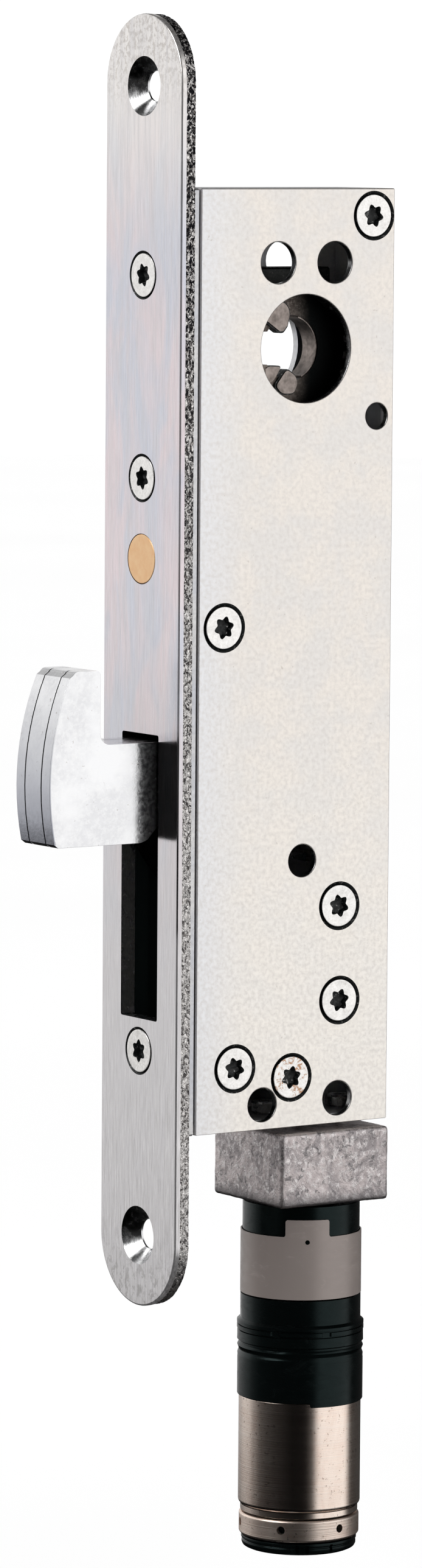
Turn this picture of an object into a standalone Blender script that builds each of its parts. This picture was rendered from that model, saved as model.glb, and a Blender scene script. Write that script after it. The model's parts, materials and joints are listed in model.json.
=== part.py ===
"""Motor-driven hook-bolt lock case: faceplate, case, hook bolt and its drive, gearhead and motor.

The frame: the origin is the centre of the faceplate's front face, +X runs into the door,
+Z is up, and the cover side of the case faces -Y. Lengths are in millimetres until a helper
multiplies them by MM.
"""

import math

import bmesh
import bpy
from mathutils import Matrix, Vector

MM = 0.001
GAP = 0.3  # between pieces that rest on each other
RUNNING = 0.08  # between a shaft and its bore, on the radius

# Faceplate
PLATE_LENGTH = 235.0
PLATE_WIDTH = 25.0
PLATE_THICK = 3.0
PLATE_SEAT = 0.15  # depth of the flat that the case sits in, on the back
MOUNT_HOLE_Z = 104.5
MOUNT_HOLE_R = 2.75
MOUNT_SINK_R = 5.25
FACE_SCREW_Z = (70.6, 34.0, -70.5)
SENSOR_Z = 19.35
SENSOR_R = 4.5
SLOT_TOP = -12.3
SLOT_BOTTOM = -64.5
SLOT_HALF = 6.05

# Case
CASE_FRONT = 3.2
CASE_BACK = 49.0
CASE_TOP = 86.3
CASE_BOTTOM = -85.5
CASE_HALF = 9.25
WALL = 1.5
FRONT_WALL = 2.7
INNER_HALF = CASE_HALF - WALL
COVER_FRONT = CASE_FRONT + FRONT_WALL + 0.5
POST_TOPS = INNER_HALF - GAP  # how far pieces between the two plates reach from the middle

# Cylinder follower and its holes, in the plane of the case
CYLINDER = (29.5, 57.25)
CYLINDER_R = 9.8
CYLINDER_SCREWS = ((23.3, 72.85), (35.75, 72.85))
CYLINDER_SCREW_R = 3.75
SMALL_HOLES = ((45.3, 44.7, 2.38), (29.55, -36.4, 2.95), (21.1, -80.95, 3.08), (37.8, -80.9, 3.15))

# Cover screws: the first four go into posts, the last two into the spindle bracket
POSTS = {
    "top": (44.3, 81.3, 2.75),
    "front": (12.0, 7.0, 3.5),
    "low_front": (15.0, -73.8, 3.5),
    "low_mid": (27.5, -76.3, 3.5),
}
BRACKET_SCREWS = {"bracket_upper": (37.9, -45.2), "bracket_lower": (38.1, -62.7)}
COVER_HEAD_R = 4.05
COVER_SCREW_LENGTH = 8.0
BRACKET_SCREW_LENGTH = 4.6
FACE_HEAD_R = 4.15
FACE_CONE = 2.15
FACE_SCREW_LENGTH = 8.2
SCREW_R = 2.0
RECESS_R = 1.72
RECESS_SWELL = 0.24
RECESS_DEPTH = 1.25
RECESS_ABOVE = 0.2  # how far a recess cutter stands over the head's face

# Bosses inside the front wall, one for each face screw: how far back they reach, bottom and top
FACE_BOSSES = ((9.0, 65.6, 75.6), (9.0, 29.0, 39.0), (8.5, -75.0, -67.6))
BOSS_HALF = 4.0
CASE_SLOT_BOTTOM = -67.2

# Ends that are riveted in the far plate
POST_END_R = 2.2
PIVOT_END_R = 3.0

# Hook bolt, about its pivot
PIVOT = (26.0, -21.0)
HOOK_HALF = 5.6
HOOK_CORE_HALF = 2.6
NOSE_R = 49.0
HEAD_TOP = 21.0
HEAD_BACK = -38.2
ARM_TOP = 7.5
ARM_BOTTOM = -10.7
ARM_NECK = -7.0
APRON_R = 26.3
PIN_R = 4.0
BUSH_R = 5.2
HUB_R = 10.0
RIVETS = ((-13.0, 1.0), (-21.0, -1.0))
RIVET_R = 2.0
APRON_THICK = 1.3
WASHER_R = 9.0

# Drive
MODULE = 1.0
HOOK_TEETH = 16
FOLLOWER_TEETH = 26
PRESSURE = math.radians(20.0)
TIP = 0.85  # of the teeth over the pitch line
ROOT = 1.25  # of the gears' teeth below the pitch line
RACK_ROOT = 1.1
BACKLASH = 0.3  # taken off each tooth's thickness
SPINDLE_X = 36.3
SPINDLE_R = 2.0
BAR_BACK = 47.0
BAR_TOP = 65.0
BAR_BOTTOM = -30.0
SLIDE_BACK = 43.3
SLIDE_TOP = -14.0
SLIDE_BOTTOM = -57.8
SLIDE_HALF = 2.4
NUT_R = 3.4
NUT_FLANGE_R = 4.0
BAR_SCREW_R = 0.9
BAR_SCREW = (-0.9, -19.0)

# Follower: its ring round the cylinder, the hub that runs in the housing, and the cam's slot
FOLLOWER_BODY_R = 10.5
FOLLOWER_BORE_R = 6.0
FOLLOWER_SLOT = 3.0
FOLLOWER_DEPTHS = (-4.25, 0.75)
HUB_DEPTHS = (-5.5, -0.45)
FOLLOWER_HUB_R = 11.4
LUG_REACH = 6.2
HOUSING = ((16.0, 1.1, 43.0), (42.0, POST_TOPS, 71.8))

# Spindle, its bracket and its bearing
SPINDLE_TOP = -42.5
SPINDLE_END = -80.4
COUPLING_R = 4.2
COUPLING_ENDS = (-83.6, -77.0)
CLAMP_SLIT_HALF = 0.4
BRACKET = ((34.7, -POST_TOPS, -76.0), (42.6, -4.3, -41.5))
BRACKET_FOOT = ((31.7, -POST_TOPS + 0.02, -76.02), (44.0, 4.5, -71.5))
BEARING_R = 3.2
BEARING_TOP = -71.5
BEARING_BOTTOM = -76.0

# Circuit board, and what stands on it: two corners (x, z) and how far it reaches towards the cover
BOARD = ((17.0, 5.9, -8.0), (41.0, 7.3, 39.0))
BOARD_SINK = 6.2
BOARD_PIECES = {
    "chip": ((21.0, 10.0), (29.0, 18.0), 4.6),
    "driver": ((31.0, 22.0), (37.0, 32.0), 4.2),
    "hall": ((35.0, -6.0), (38.5, -2.5), 4.8),
    "socket": ((19.0, 28.0), (28.0, 34.0), 1.5),
}

# Adapter block
BLOCK = ((24.1, -11.45, -100.4), (48.2, 11.45, -86.5))
BLOCK_SCREWS_X = (27.9, 44.7)
BLOCK_SCREW_R = 1.5
BLOCK_HEAD_R = 2.5
BLOCK_HEAD_TOP = -81.8
BLOCK_HEAD_BOTTOM = -83.6
BLOCK_SCREW_END = -93.0
BLOCK_BORE_R = 3.2
SPIGOT_R = 6.0  # of the gearhead's spigot in the block

# Gearhead and motor
SUN_TEETH = 12
PLANET_TEETH = 15
RING_TEETH = SUN_TEETH + 2 * PLANET_TEETH
PLANET_MODULE = 0.4
PLANET_PRESSURE = math.radians(25.0)
PLANET_CENTRES = PLANET_MODULE * (SUN_TEETH + PLANET_TEETH) / 2
PLANET_TIP = 0.75
PLANET_ROOT = 1.1
PLANET_BACKLASH = 0.1
PLANET_PIN_R = 0.9
RING_GEAR = (9.7, -113.0, -106.0)  # outer radius, bottom and top
PLANET_ENDS = (-112.9, -106.1)
SHAFT_R = 1.2
HEAD_R = 10.9
LABEL_R = 11.25
LABEL_BOTTOM = -118.0
LABEL_TOP = -103.1
LABEL_SHOULDER = -106.3
LABEL_TAB = (-15.5, 27.0)  # the tab's two edges, in degrees from VIEW_SIDE
SKIRT_START = 9.0  # degrees from VIEW_SIDE
CAN_R = 11.38
CAN_END_R = 10.95
END_RING_R = 11.4
VENTS = 6
VENT_R = 0.7
VENT_Z = -161.3
FIRST_VENT = -18.0  # degrees from VIEW_SIDE
TERMINAL_X = 5.5  # from the motor's axis
ROTOR_SLOTS = 5
VIEW_SIDE = math.radians(-123.7)  # the side of the motor that carries the label's tab

COLOURS = {
    "faceplate_steel": ((0.62, 0.60, 0.61), 0.28, 1.0),
    "case_zinc": ((0.78, 0.77, 0.74), 0.38, 1.0),
    "hook_steel": ((0.74, 0.74, 0.75), 0.34, 1.0),
    "screw_steel": ((0.70, 0.68, 0.64), 0.30, 1.0),
    "sintered_steel": ((0.20, 0.17, 0.14), 0.55, 1.0),
    "machined_steel": ((0.55, 0.55, 0.55), 0.35, 1.0),
    "bronze": ((0.62, 0.40, 0.18), 0.40, 1.0),
    "brass": ((0.80, 0.58, 0.36), 0.35, 1.0),
    "cast_zinc": ((0.45, 0.43, 0.42), 0.60, 1.0),
    "black_plastic": ((0.015, 0.015, 0.017), 0.38, 0.0),
    "label_grey": ((0.24, 0.21, 0.19), 0.45, 0.0),
    "motor_steel": ((0.58, 0.50, 0.44), 0.25, 1.0),
    "magnet": ((0.10, 0.10, 0.11), 0.60, 0.0),
    "copper": ((0.72, 0.35, 0.18), 0.40, 1.0),
    "board_green": ((0.03, 0.16, 0.07), 0.50, 0.0),
}

TURN_FACING = {
    "X": (math.radians(90), 0.0, math.radians(90)),
    "Y": (math.radians(90), 0.0, 0.0),
    "Z": (0.0, 0.0, 0.0),
}
PLACE_FACING = {
    "X": lambda a, b, depth: (depth, a, b),
    "Y": lambda a, b, depth: (a, depth, b),
    "Z": lambda a, b, depth: (a, b, depth),
}

for old in list(bpy.data.objects):
    bpy.data.objects.remove(old, do_unlink=True)

PARTS = bpy.data.collections.new("hook_bolt_lock_case")
CUTTERS = bpy.data.collections.new("cutters")
bpy.context.scene.collection.children.link(PARTS)
bpy.context.scene.collection.children.link(CUTTERS)


# ---------------------------------------------------------------- helpers


def material(slot):
    """One material per object, with the slot's colour, roughness and metallic value."""
    colour, roughness, metallic = COLOURS[slot]
    made = bpy.data.materials.new(slot)
    made.use_nodes = True
    shader = made.node_tree.nodes["Principled BSDF"]
    shader.inputs["Base Color"].default_value = (*colour, 1.0)
    shader.inputs["Roughness"].default_value = roughness
    shader.inputs["Metallic"].default_value = metallic
    return made


def place(name, mesh, location, turn=(0.0, 0.0, 0.0)):
    mesh.shade_smooth()
    mesh.set_sharp_from_angle(angle=math.radians(35))
    made = bpy.data.objects.new(name, mesh)
    made.location = Vector(location) * MM
    made.rotation_euler = turn
    PARTS.objects.link(made)
    return made


def finish(piece, slot, axis=None):
    """Gives the piece its material and, if it moves, hangs it on the empty of its joint."""
    piece.data.materials.clear()
    piece.data.materials.append(material(slot))
    if axis is not None:
        piece.parent = axis
        piece.matrix_parent_inverse = Matrix.Translation(axis.location).inverted()
    return piece


def joint_axis(name, x, y, z):
    made = bpy.data.objects.new(name, None)
    made.location = Vector((x, y, z)) * MM
    made.empty_display_size = 0.01
    PARTS.objects.link(made)
    return made


def tool(piece):
    """Makes a piece a helper shape of a Boolean, which isn't rendered."""
    PARTS.objects.unlink(piece)
    CUTTERS.objects.link(piece)
    piece.hide_render = True
    piece.display_type = "WIRE"
    return piece


def combine(piece, other, operation):
    made = piece.modifiers.new(other.name, "BOOLEAN")
    made.object = tool(other)
    made.operation = operation
    made.solver = "EXACT"
    return piece


def cut(piece, *others):
    for other in others:
        combine(piece, other, "DIFFERENCE")
    return piece


def join(piece, *others):
    for other in others:
        combine(piece, other, "UNION")
    return piece


def bevel(piece, width, segments=1):
    made = piece.modifiers.new("edges", "BEVEL")
    made.width = width * MM
    made.segments = segments
    made.limit_method = "ANGLE"
    made.angle_limit = math.radians(50)
    return piece


def box(name, low, high):
    low, high = Vector(low), Vector(high)
    shape = bmesh.new()
    bmesh.ops.create_cube(shape, size=1.0)
    bmesh.ops.scale(shape, vec=(high - low) * MM, verts=shape.verts)
    mesh = bpy.data.meshes.new(name)
    shape.to_mesh(mesh)
    shape.free()
    return place(name, mesh, (low + high) / 2)


def aim(direction):
    """The rotation that turns +Z to a direction."""
    return Vector((0.0, 0.0, 1.0)).rotation_difference(Vector(direction)).to_euler()


def rod(name, start, end, radius, segments=32, end_radius=None):
    """A cylinder, or a cone, from one point to another."""
    start, end = Vector(start), Vector(end)
    shape = bmesh.new()
    bmesh.ops.create_cone(
        shape,
        cap_ends=True,
        segments=segments,
        radius1=radius * MM,
        radius2=(radius if end_radius is None else end_radius) * MM,
        depth=(end - start).length * MM,
    )
    mesh = bpy.data.meshes.new(name)
    shape.to_mesh(mesh)
    shape.free()
    return place(name, mesh, (start + end) / 2, aim(end - start))


def turned(name, profile, origin, upward=(0.0, 0.0, 1.0), segments=32, closed=True):
    """A profile of (radius, height) turned about its own +Z, which points upward.

    A closed profile is a loop that goes up its inner side and down its outer side. An open one
    starts and ends on the axis.
    """
    mesh = bpy.data.meshes.new(name)
    points = [(radius * MM, 0.0, height * MM) for radius, height in profile]
    edges = [(i, i + 1) for i in range(len(points) - 1)]
    if closed:
        edges.append((len(points) - 1, 0))
    mesh.from_pydata(points, edges, [])
    made = place(name, mesh, origin, aim(upward))
    screw = made.modifiers.new("turn", "SCREW")
    screw.steps = segments
    screw.render_steps = segments
    screw.use_merge_vertices = True
    screw.merge_threshold = 0.00001
    screw.use_smooth_shade = True
    return made


def extruded(name, loops, origin, low, high, facing):
    """Outlines, the first one with the others as holes in it, made into a plate from low to high."""
    data = bpy.data.curves.new(name, "CURVE")
    data.dimensions = "2D"
    data.fill_mode = "BOTH"
    data.extrude = (high - low) / 2 * MM
    for loop in loops:
        spline = data.splines.new("POLY")
        spline.points.add(len(loop) - 1)
        for point, (a, b) in zip(spline.points, loop):
            point.co = (a * MM, b * MM, 0.0, 1.0)
        spline.use_cyclic_u = True
    curve = bpy.data.objects.new(name + "_outline", data)
    PARTS.objects.link(curve)
    evaluated = curve.evaluated_get(bpy.context.evaluated_depsgraph_get())
    mesh = bpy.data.meshes.new_from_object(evaluated)
    bpy.data.objects.remove(curve, do_unlink=True)
    shape = bmesh.new()
    shape.from_mesh(mesh)
    bmesh.ops.remove_doubles(shape, verts=shape.verts, dist=0.000001)
    bmesh.ops.recalc_face_normals(shape, faces=shape.faces)
    shape.to_mesh(mesh)
    shape.free()
    location = PLACE_FACING[facing](origin[0], origin[1], (low + high) / 2)
    return place(name, mesh, location, TURN_FACING[facing])


# ---------------------------------------------------------------- outlines


def arc(radius, start, end, steps, centre=(0.0, 0.0)):
    """Points along an arc; the angles are in degrees."""
    found = []
    for i in range(steps + 1):
        angle = math.radians(start + (end - start) * i / steps)
        found.append((centre[0] + radius * math.cos(angle), centre[1] + radius * math.sin(angle)))
    return found


def circle(radius, steps=32, centre=(0.0, 0.0)):
    return arc(radius, 0.0, 360.0, steps, centre)[:-1]


def lobes(radius, depth, count=6, steps=18):
    """A star recess: a circle whose radius swells count times."""
    found = []
    for i in range(steps):
        angle = 2 * math.pi * i / steps
        swell = radius + depth * math.cos(count * angle)
        found.append((swell * math.cos(angle), swell * math.sin(angle)))
    return found


def involute(angle):
    return math.tan(angle) - angle


def tooth(teeth, module, pressure, tip, root, thinner, centre, steps):
    """One external tooth about the angle centre, its flanks involutes in a number of steps."""
    pitch_r = module * teeth / 2
    base_r = pitch_r * math.cos(pressure)
    half = math.pi / (2 * teeth) - thinner / (2 * pitch_r)
    flank = [(root, half + involute(pressure))]
    for i in range(1, steps + 1):
        radius = max(base_r, root) + (tip - max(base_r, root)) * i / steps
        roll = math.acos(min(1.0, base_r / radius))
        flank.append((radius, half + involute(pressure) - involute(roll)))
    rising = [(radius, centre - spread) for radius, spread in flank]
    falling = [(radius, centre + spread) for radius, spread in reversed(flank)]
    return [(r * math.cos(a), r * math.sin(a)) for r, a in rising + falling]


def gear_outline(teeth, module, pressure, tip, root, thinner, phase=0.0):
    found = []
    for i in range(teeth):
        found += tooth(teeth, module, pressure, tip, root, thinner, phase + 2 * math.pi * i / teeth, 1)
    return found


def sector(teeth, module, first, last, tip, root):
    """The teeth numbered first to last of an external gear, anticlockwise."""
    found = []
    for i in range(first, last + 1):
        found += tooth(teeth, module, PRESSURE, tip, root, BACKLASH, 2 * math.pi * i / teeth, 2)
    return found


def rack_teeth(pitch_x, centre_z, first, last, tip, root):
    """Rack teeth that point to -X, from the lowest up; tip and root count from the pitch line."""
    pitch = math.pi * MODULE
    found = []
    for i in range(first, last + 1):
        middle = centre_z + (i + 0.5) * pitch
        half = pitch / 4 - BACKLASH / 2
        wide = half + root * math.tan(PRESSURE)
        narrow = half - tip * math.tan(PRESSURE)
        found += [(pitch_x + root, middle - wide), (pitch_x - tip, middle - narrow)]
        found += [(pitch_x - tip, middle + narrow), (pitch_x + root, middle + wide)]
    return found


# ---------------------------------------------------------------- screws


def countersunk_screw(name, point, outward, head_r, cone, length, turn):
    """A flat-head screw with a star recess; point is the middle of its head's face."""
    neck = head_r - cone
    profile = [(0.0, 0.0), (head_r, 0.0), (neck, -cone), (SCREW_R, -cone - 0.01)]
    profile += [(SCREW_R, -length), (0.0, -length)]
    made = turned(name, profile, point, outward, segments=20, closed=False)
    star = lobes(RECESS_R, RECESS_SWELL)
    recess = extruded(name + "_recess", [star], (0.0, 0.0), -RECESS_DEPTH, RECESS_ABOVE, "Z")
    middle = Vector(point) - Vector(outward) * (RECESS_DEPTH - RECESS_ABOVE) / 2
    recess.location = middle * MM
    recess.rotation_euler = (aim(outward).to_matrix() @ Matrix.Rotation(turn, 3, "Z")).to_euler()
    return cut(made, recess)


def sink(name, point, outward, head_r, cone, depth):
    """The cutter for a countersunk screw: its head and its shank, each a gap larger."""
    wide = head_r + GAP
    neck = wide - cone
    profile = [(0.0, 1.0), (wide, 1.0), (wide, -0.1), (neck, -cone - 0.1)]
    if neck > SCREW_R + GAP:
        profile.append((SCREW_R + GAP, -cone - 0.1))
    else:
        profile[-1] = (SCREW_R + GAP, -(wide - SCREW_R - GAP) - 0.1)
    profile += [(SCREW_R + GAP, -depth), (0.0, -depth)]
    return turned(name, profile, point, outward, segments=24, closed=False)


# ---------------------------------------------------------------- faceplate


def rounded_strip():
    radius = PLATE_WIDTH / 2
    reach = PLATE_LENGTH / 2 - radius
    return arc(radius, 0, 180, 20, (0.0, reach)) + arc(radius, 180, 360, 20, (0.0, -reach))


def make_faceplate():
    plate = extruded("faceplate", [rounded_strip()], (0.0, 0.0), 0.0, PLATE_THICK, "X")
    bevel(plate, 0.35)
    seat = box(
        "seat_cut",
        (PLATE_THICK - PLATE_SEAT, -20.0, CASE_BOTTOM - 1.0),
        (PLATE_THICK + 1.0, 20.0, CASE_TOP + 1.0),
    )
    slot = box("slot_cut", (-1.0, -SLOT_HALF, SLOT_BOTTOM), (5.0, SLOT_HALF, SLOT_TOP))
    cut(plate, seat, slot)
    for i, z in enumerate((MOUNT_HOLE_Z, -MOUNT_HOLE_Z)):
        slope = MOUNT_SINK_R - MOUNT_HOLE_R
        cone = rod(f"mount_sink_{i}", (-0.5, 0, z), (slope, 0, z), MOUNT_SINK_R + 0.5, 28, MOUNT_HOLE_R)
        hole = rod(f"mount_hole_{i}", (-1, 0, z), (5, 0, z), MOUNT_HOLE_R, 28)
        cut(plate, cone, hole)
    for i, z in enumerate(FACE_SCREW_Z):
        cut(plate, sink(f"face_sink_{i}", (0, 0, z), (-1, 0, 0), FACE_HEAD_R, FACE_CONE, 12.0))
    window = rod("window_cut", (-1, 0, SENSOR_Z), (5, 0, SENSOR_Z), SENSOR_R + 0.1, 32)
    cut(plate, window)
    finish(plate, "faceplate_steel")
    for name, z, turn in zip(("top", "mid", "low"), FACE_SCREW_Z, (0.2, 0.5, 0.9)):
        point = (0, 0, z)
        size = (FACE_HEAD_R, FACE_CONE, FACE_SCREW_LENGTH)
        screw = countersunk_screw("face_screw_" + name, point, (-1, 0, 0), *size, turn)
        finish(screw, "screw_steel")


def make_door_sensor():
    window = rod("sensor_window", (0, 0, SENSOR_Z), (2.4, 0, SENSOR_Z), SENSOR_R, 32)
    finish(window, "brass")
    profile = [(0.0, -2.7), (SENSOR_R - 0.2, -2.7), (SENSOR_R - 0.2, -13.0), (3.2, -14.0), (0.0, -14.0)]
    body = turned("door_sensor", profile, (0, 0, SENSOR_Z), (-1, 0, 0), segments=24, closed=False)
    finish(body, "black_plastic")


# ---------------------------------------------------------------- case


def through_holes(prefix, low, high):
    """The cutters for the cylinder and its two screws, through one plate."""
    x, z = CYLINDER
    found = [rod(prefix + "_cylinder", (x, low, z), (x, high, z), CYLINDER_R, 48)]
    for i, (x, z) in enumerate(CYLINDER_SCREWS):
        found.append(rod(f"{prefix}_cylinder_screw_{i}", (x, low, z), (x, high, z), CYLINDER_SCREW_R, 28))
    return found


def make_case_body():
    low = (CASE_FRONT, -CASE_HALF, CASE_BOTTOM)
    high = (CASE_BACK, CASE_HALF, CASE_TOP)
    body = bevel(box("case_body", low, high), 0.35)
    inner_front = CASE_FRONT + FRONT_WALL
    hollow = box(
        "case_hollow",
        (inner_front, -20.0, CASE_BOTTOM + WALL),
        (CASE_BACK - WALL, INNER_HALF, CASE_TOP - WALL),
    )
    rim = box("rim_cut", (inner_front, -20.0, -120.0), (60.0, -POST_TOPS, 120.0))
    cut(body, hollow, rim)
    for i, (reach, bottom, top) in enumerate(FACE_BOSSES):
        low = (inner_front - 0.5, -BOSS_HALF, bottom)
        join(body, box(f"face_boss_{i}", low, (reach, BOSS_HALF, top)))
    for i, z in enumerate(FACE_SCREW_Z):
        cut(body, rod(f"face_thread_{i}", (0, 0, z), (12, 0, z), SCREW_R + GAP, 16))
    low = (0.0, -SLOT_HALF, CASE_SLOT_BOTTOM)
    slot = box("case_slot", low, (inner_front + 0.2, SLOT_HALF, SLOT_TOP + 0.3))
    sensor = rod("sensor_cut", (0, 0, SENSOR_Z), (8, 0, SENSOR_Z), SENSOR_R + 0.1, 24)
    cut(body, slot, sensor)
    cut(body, *through_holes("far", 5.0, 12.0))
    for name, (x, z, radius) in POSTS.items():
        cut(body, rod(f"far_rivet_{name}", (x, 6, z), (x, 12, z), POST_END_R + GAP, 16))
    x, z = PIVOT
    cut(body, rod("far_pivot", (x, 6, z), (x, 12, z), PIVOT_END_R + GAP, 20))
    cut(body, rod("shaft_hole", (SPINDLE_X, 0, -90), (SPINDLE_X, 0, -80), 3.0, 24))
    for i, x in enumerate(BLOCK_SCREWS_X):
        cut(body, rod(f"block_hole_{i}", (x, 0, -90), (x, 0, -80), BLOCK_SCREW_R + GAP, 16))
    finish(body, "case_zinc")


def make_cover():
    low = (COVER_FRONT, -CASE_HALF, CASE_BOTTOM)
    high = (CASE_BACK, -INNER_HALF, CASE_TOP)
    cover = bevel(box("cover_plate", low, high), 0.3)
    cut(cover, *through_holes("near", -12.0, -5.0))
    for i, (x, z, radius) in enumerate(SMALL_HOLES):
        cut(cover, rod(f"small_hole_{i}", (x, -12, z), (x, -5, z), radius, 24))
    for name, x, z in screw_places():
        point = (x, -CASE_HALF, z)
        cut(cover, sink("cover_sink_" + name, point, (0, -1, 0), COVER_HEAD_R, WALL, 4.0))
    finish(cover, "case_zinc")


def screw_places():
    found = [(name, x, z) for name, (x, z, radius) in POSTS.items()]
    return found + [(name, x, z) for name, (x, z) in BRACKET_SCREWS.items()]


def make_cover_screws():
    for i, (name, x, z) in enumerate(screw_places()):
        length = BRACKET_SCREW_LENGTH if name in BRACKET_SCREWS else COVER_SCREW_LENGTH
        point = (x, -CASE_HALF, z)
        size = (COVER_HEAD_R, WALL, length)
        screw = countersunk_screw("cover_screw_" + name, point, (0, -1, 0), *size, 0.4 * i)
        finish(screw, "screw_steel")


def make_posts():
    """Posts riveted through the far plate, each with a blind threaded hole for a cover screw."""
    for name, (x, z, radius) in POSTS.items():
        hole = SCREW_R + GAP
        profile = [(0.0, -2.0), (hole, -2.0), (hole, POST_TOPS), (radius, POST_TOPS)]
        profile += [(radius, -POST_TOPS), (POST_END_R, -POST_TOPS), (POST_END_R, -CASE_HALF)]
        profile.append((0.0, -CASE_HALF))
        post = turned("post_" + name, profile, (x, 0, z), (0, -1, 0), segments=16, closed=False)
        finish(post, "machined_steel")


# ---------------------------------------------------------------- hook bolt


def head_outline():
    """The hook head and the arm's two edges as far as the hub, about the pivot."""
    top_corner = 180 - math.degrees(math.asin((HEAD_TOP - 1.2) / NOSE_R))
    low_corner = 180 - math.degrees(math.asin((ARM_BOTTOM + 0.6) / NOSE_R))
    found = arc(2.0, 270, 180, 6, (HEAD_BACK + 2.0, ARM_TOP + 2.0))
    found += arc(1.0, 0, 90, 4, (HEAD_BACK - 1.0, HEAD_TOP - 1.0))
    found += arc(1.3, 90, 150, 4, (-42.9, HEAD_TOP - 1.3))
    found += arc(NOSE_R, top_corner, low_corner, 12)
    found += [(-47.1, ARM_BOTTOM), (-29.5, ARM_BOTTOM), (-28.0, ARM_BOTTOM + 0.5), (-25.0, ARM_NECK)]
    return found


def make_hook_core(axis):
    """The middle ply, with the sector gear that the slide's rack turns."""
    root = MODULE * HOOK_TEETH / 2 - ROOT
    tip = MODULE * HOOK_TEETH / 2 + TIP
    outline = head_outline() + [(-6.5, ARM_NECK)]
    outline += arc(root, -130, -104, 3)
    outline += sector(HOOK_TEETH, MODULE, -4, 1, tip, root)
    outline += arc(ARM_TOP, 36, 90, 8)
    bore = circle(BUSH_R + GAP, 24)
    core = extruded("hook_core", [outline, bore], PIVOT, -HOOK_CORE_HALF, HOOK_CORE_HALF, "Y")
    drill_rivets(core)
    finish(core, "hook_steel", axis)


def drill_rivets(ply):
    for i, (x, z) in enumerate(RIVETS):
        x, z = PIVOT[0] + x, PIVOT[1] + z
        cut(ply, rod(f"{ply.name}_rivet_{i}", (x, -10, z), (x, 10, z), RIVET_R + GAP, 12))


def make_hook_cheek(name, low, high, axis):
    """An outer ply. The far one carries the apron, which closes the slot below the arm."""
    outline = head_outline()
    lower = math.degrees(math.asin(ARM_NECK / HUB_R))
    upper = math.degrees(math.asin(ARM_TOP / HUB_R))
    outline += arc(HUB_R, -180 - lower, 180 - upper, 20)
    cheek = extruded(name, [outline, circle(BUSH_R + GAP, 24)], PIVOT, low, high, "Y")
    drill_rivets(cheek)
    if name.endswith("far"):
        fan = arc(APRON_R, 190, 231, 12) + [(-3.0, -8.5), (-8.0, -3.0)]
        join(cheek, extruded("apron", [fan], PIVOT, HOOK_HALF - APRON_THICK, HOOK_HALF - 0.02, "Y"))
    finish(cheek, "hook_steel", axis)


def make_hook(axis):
    make_hook_core(axis)
    make_hook_cheek("hook_cheek_near", -HOOK_HALF, -HOOK_CORE_HALF - GAP, axis)
    make_hook_cheek("hook_cheek_far", HOOK_CORE_HALF + GAP, HOOK_HALF, axis)
    for i, (x, z) in enumerate(RIVETS):
        x, z = PIVOT[0] + x, PIVOT[1] + z
        rivet = rod(f"hook_rivet_{i + 1}", (x, -HOOK_HALF, z), (x, HOOK_HALF, z), RIVET_R, 12)
        finish(rivet, "machined_steel", axis)
    inner = PIN_R + RUNNING
    profile = [(inner, -HOOK_HALF), (inner, HOOK_HALF), (BUSH_R, HOOK_HALF), (BUSH_R, -HOOK_HALF)]
    bush = turned("hook_bush", profile, (PIVOT[0], 0, PIVOT[1]), (0, -1, 0))
    finish(bush, "bronze", axis)


def make_pivot():
    profile = [(0.0, POST_TOPS), (PIN_R - 0.4, POST_TOPS), (PIN_R, POST_TOPS - 0.4), (PIN_R, -POST_TOPS)]
    profile += [(PIVOT_END_R, -POST_TOPS), (PIVOT_END_R, -CASE_HALF), (0.0, -CASE_HALF)]
    pin = turned("pivot_pin", profile, (PIVOT[0], 0, PIVOT[1]), (0, -1, 0), closed=False)
    finish(pin, "machined_steel")
    for name, side in (("near", 1), ("far", -1)):
        low, high = sorted((side * (HOOK_HALF + GAP), side * (POST_TOPS - 0.1)))
        inner = PIN_R + GAP
        profile = [(inner, low), (inner, high), (WASHER_R, high), (WASHER_R, low)]
        place_at = (PIVOT[0], 0, PIVOT[1])
        washer = turned("pivot_washer_" + name, profile, place_at, (0, -1, 0), segments=28)
        finish(washer, "machined_steel")


# ---------------------------------------------------------------- follower


def make_follower(axis):
    """The ring that the lock cylinder turns: a slot for its cam, and teeth towards the bar."""
    root = MODULE * FOLLOWER_TEETH / 2 - ROOT
    tip = MODULE * FOLLOWER_TEETH / 2 + TIP
    outer_edge = math.degrees(math.asin(FOLLOWER_SLOT / FOLLOWER_BODY_R))
    inner_edge = math.degrees(math.asin(FOLLOWER_SLOT / FOLLOWER_BORE_R))
    outline = arc(FOLLOWER_BODY_R, 180 + outer_edge, 360 - 78, 8)
    outline += sector(FOLLOWER_TEETH, MODULE, -5, 2, tip, root)
    outline += arc(FOLLOWER_BODY_R, 36, 180 - outer_edge, 10)
    outline += arc(FOLLOWER_BORE_R, 180 - inner_edge, -180 + inner_edge, 24)
    ring = extruded("follower", [outline], CYLINDER, *FOLLOWER_DEPTHS, "Y")
    low, high = HUB_DEPTHS
    profile = [(CYLINDER_R, low), (CYLINDER_R, high), (FOLLOWER_HUB_R, high), (FOLLOWER_HUB_R, low)]
    hub = turned("follower_hub", profile, (CYLINDER[0], 0, CYLINDER[1]), (0, -1, 0), segments=40)
    join(ring, hub)
    x, z = CYLINDER
    for i, side in enumerate((1, -1)):
        low, high = sorted((z + side * (FOLLOWER_SLOT + 0.02), z + side * LUG_REACH))
        join(ring, box(f"lug_{i}", (x - 9.2, -5.0, low), (x - 6.0, -4.0, high)))
    finish(ring, "sintered_steel", axis)


def make_follower_housing():
    x, z = CYLINDER
    housing = bevel(box("follower_housing", *HOUSING), 0.4)
    cut(housing, rod("housing_bore", (x, -2, z), (x, 12, z), FOLLOWER_HUB_R + RUNNING, 40))
    finish(housing, "cast_zinc")


# ---------------------------------------------------------------- slide and bar


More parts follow.
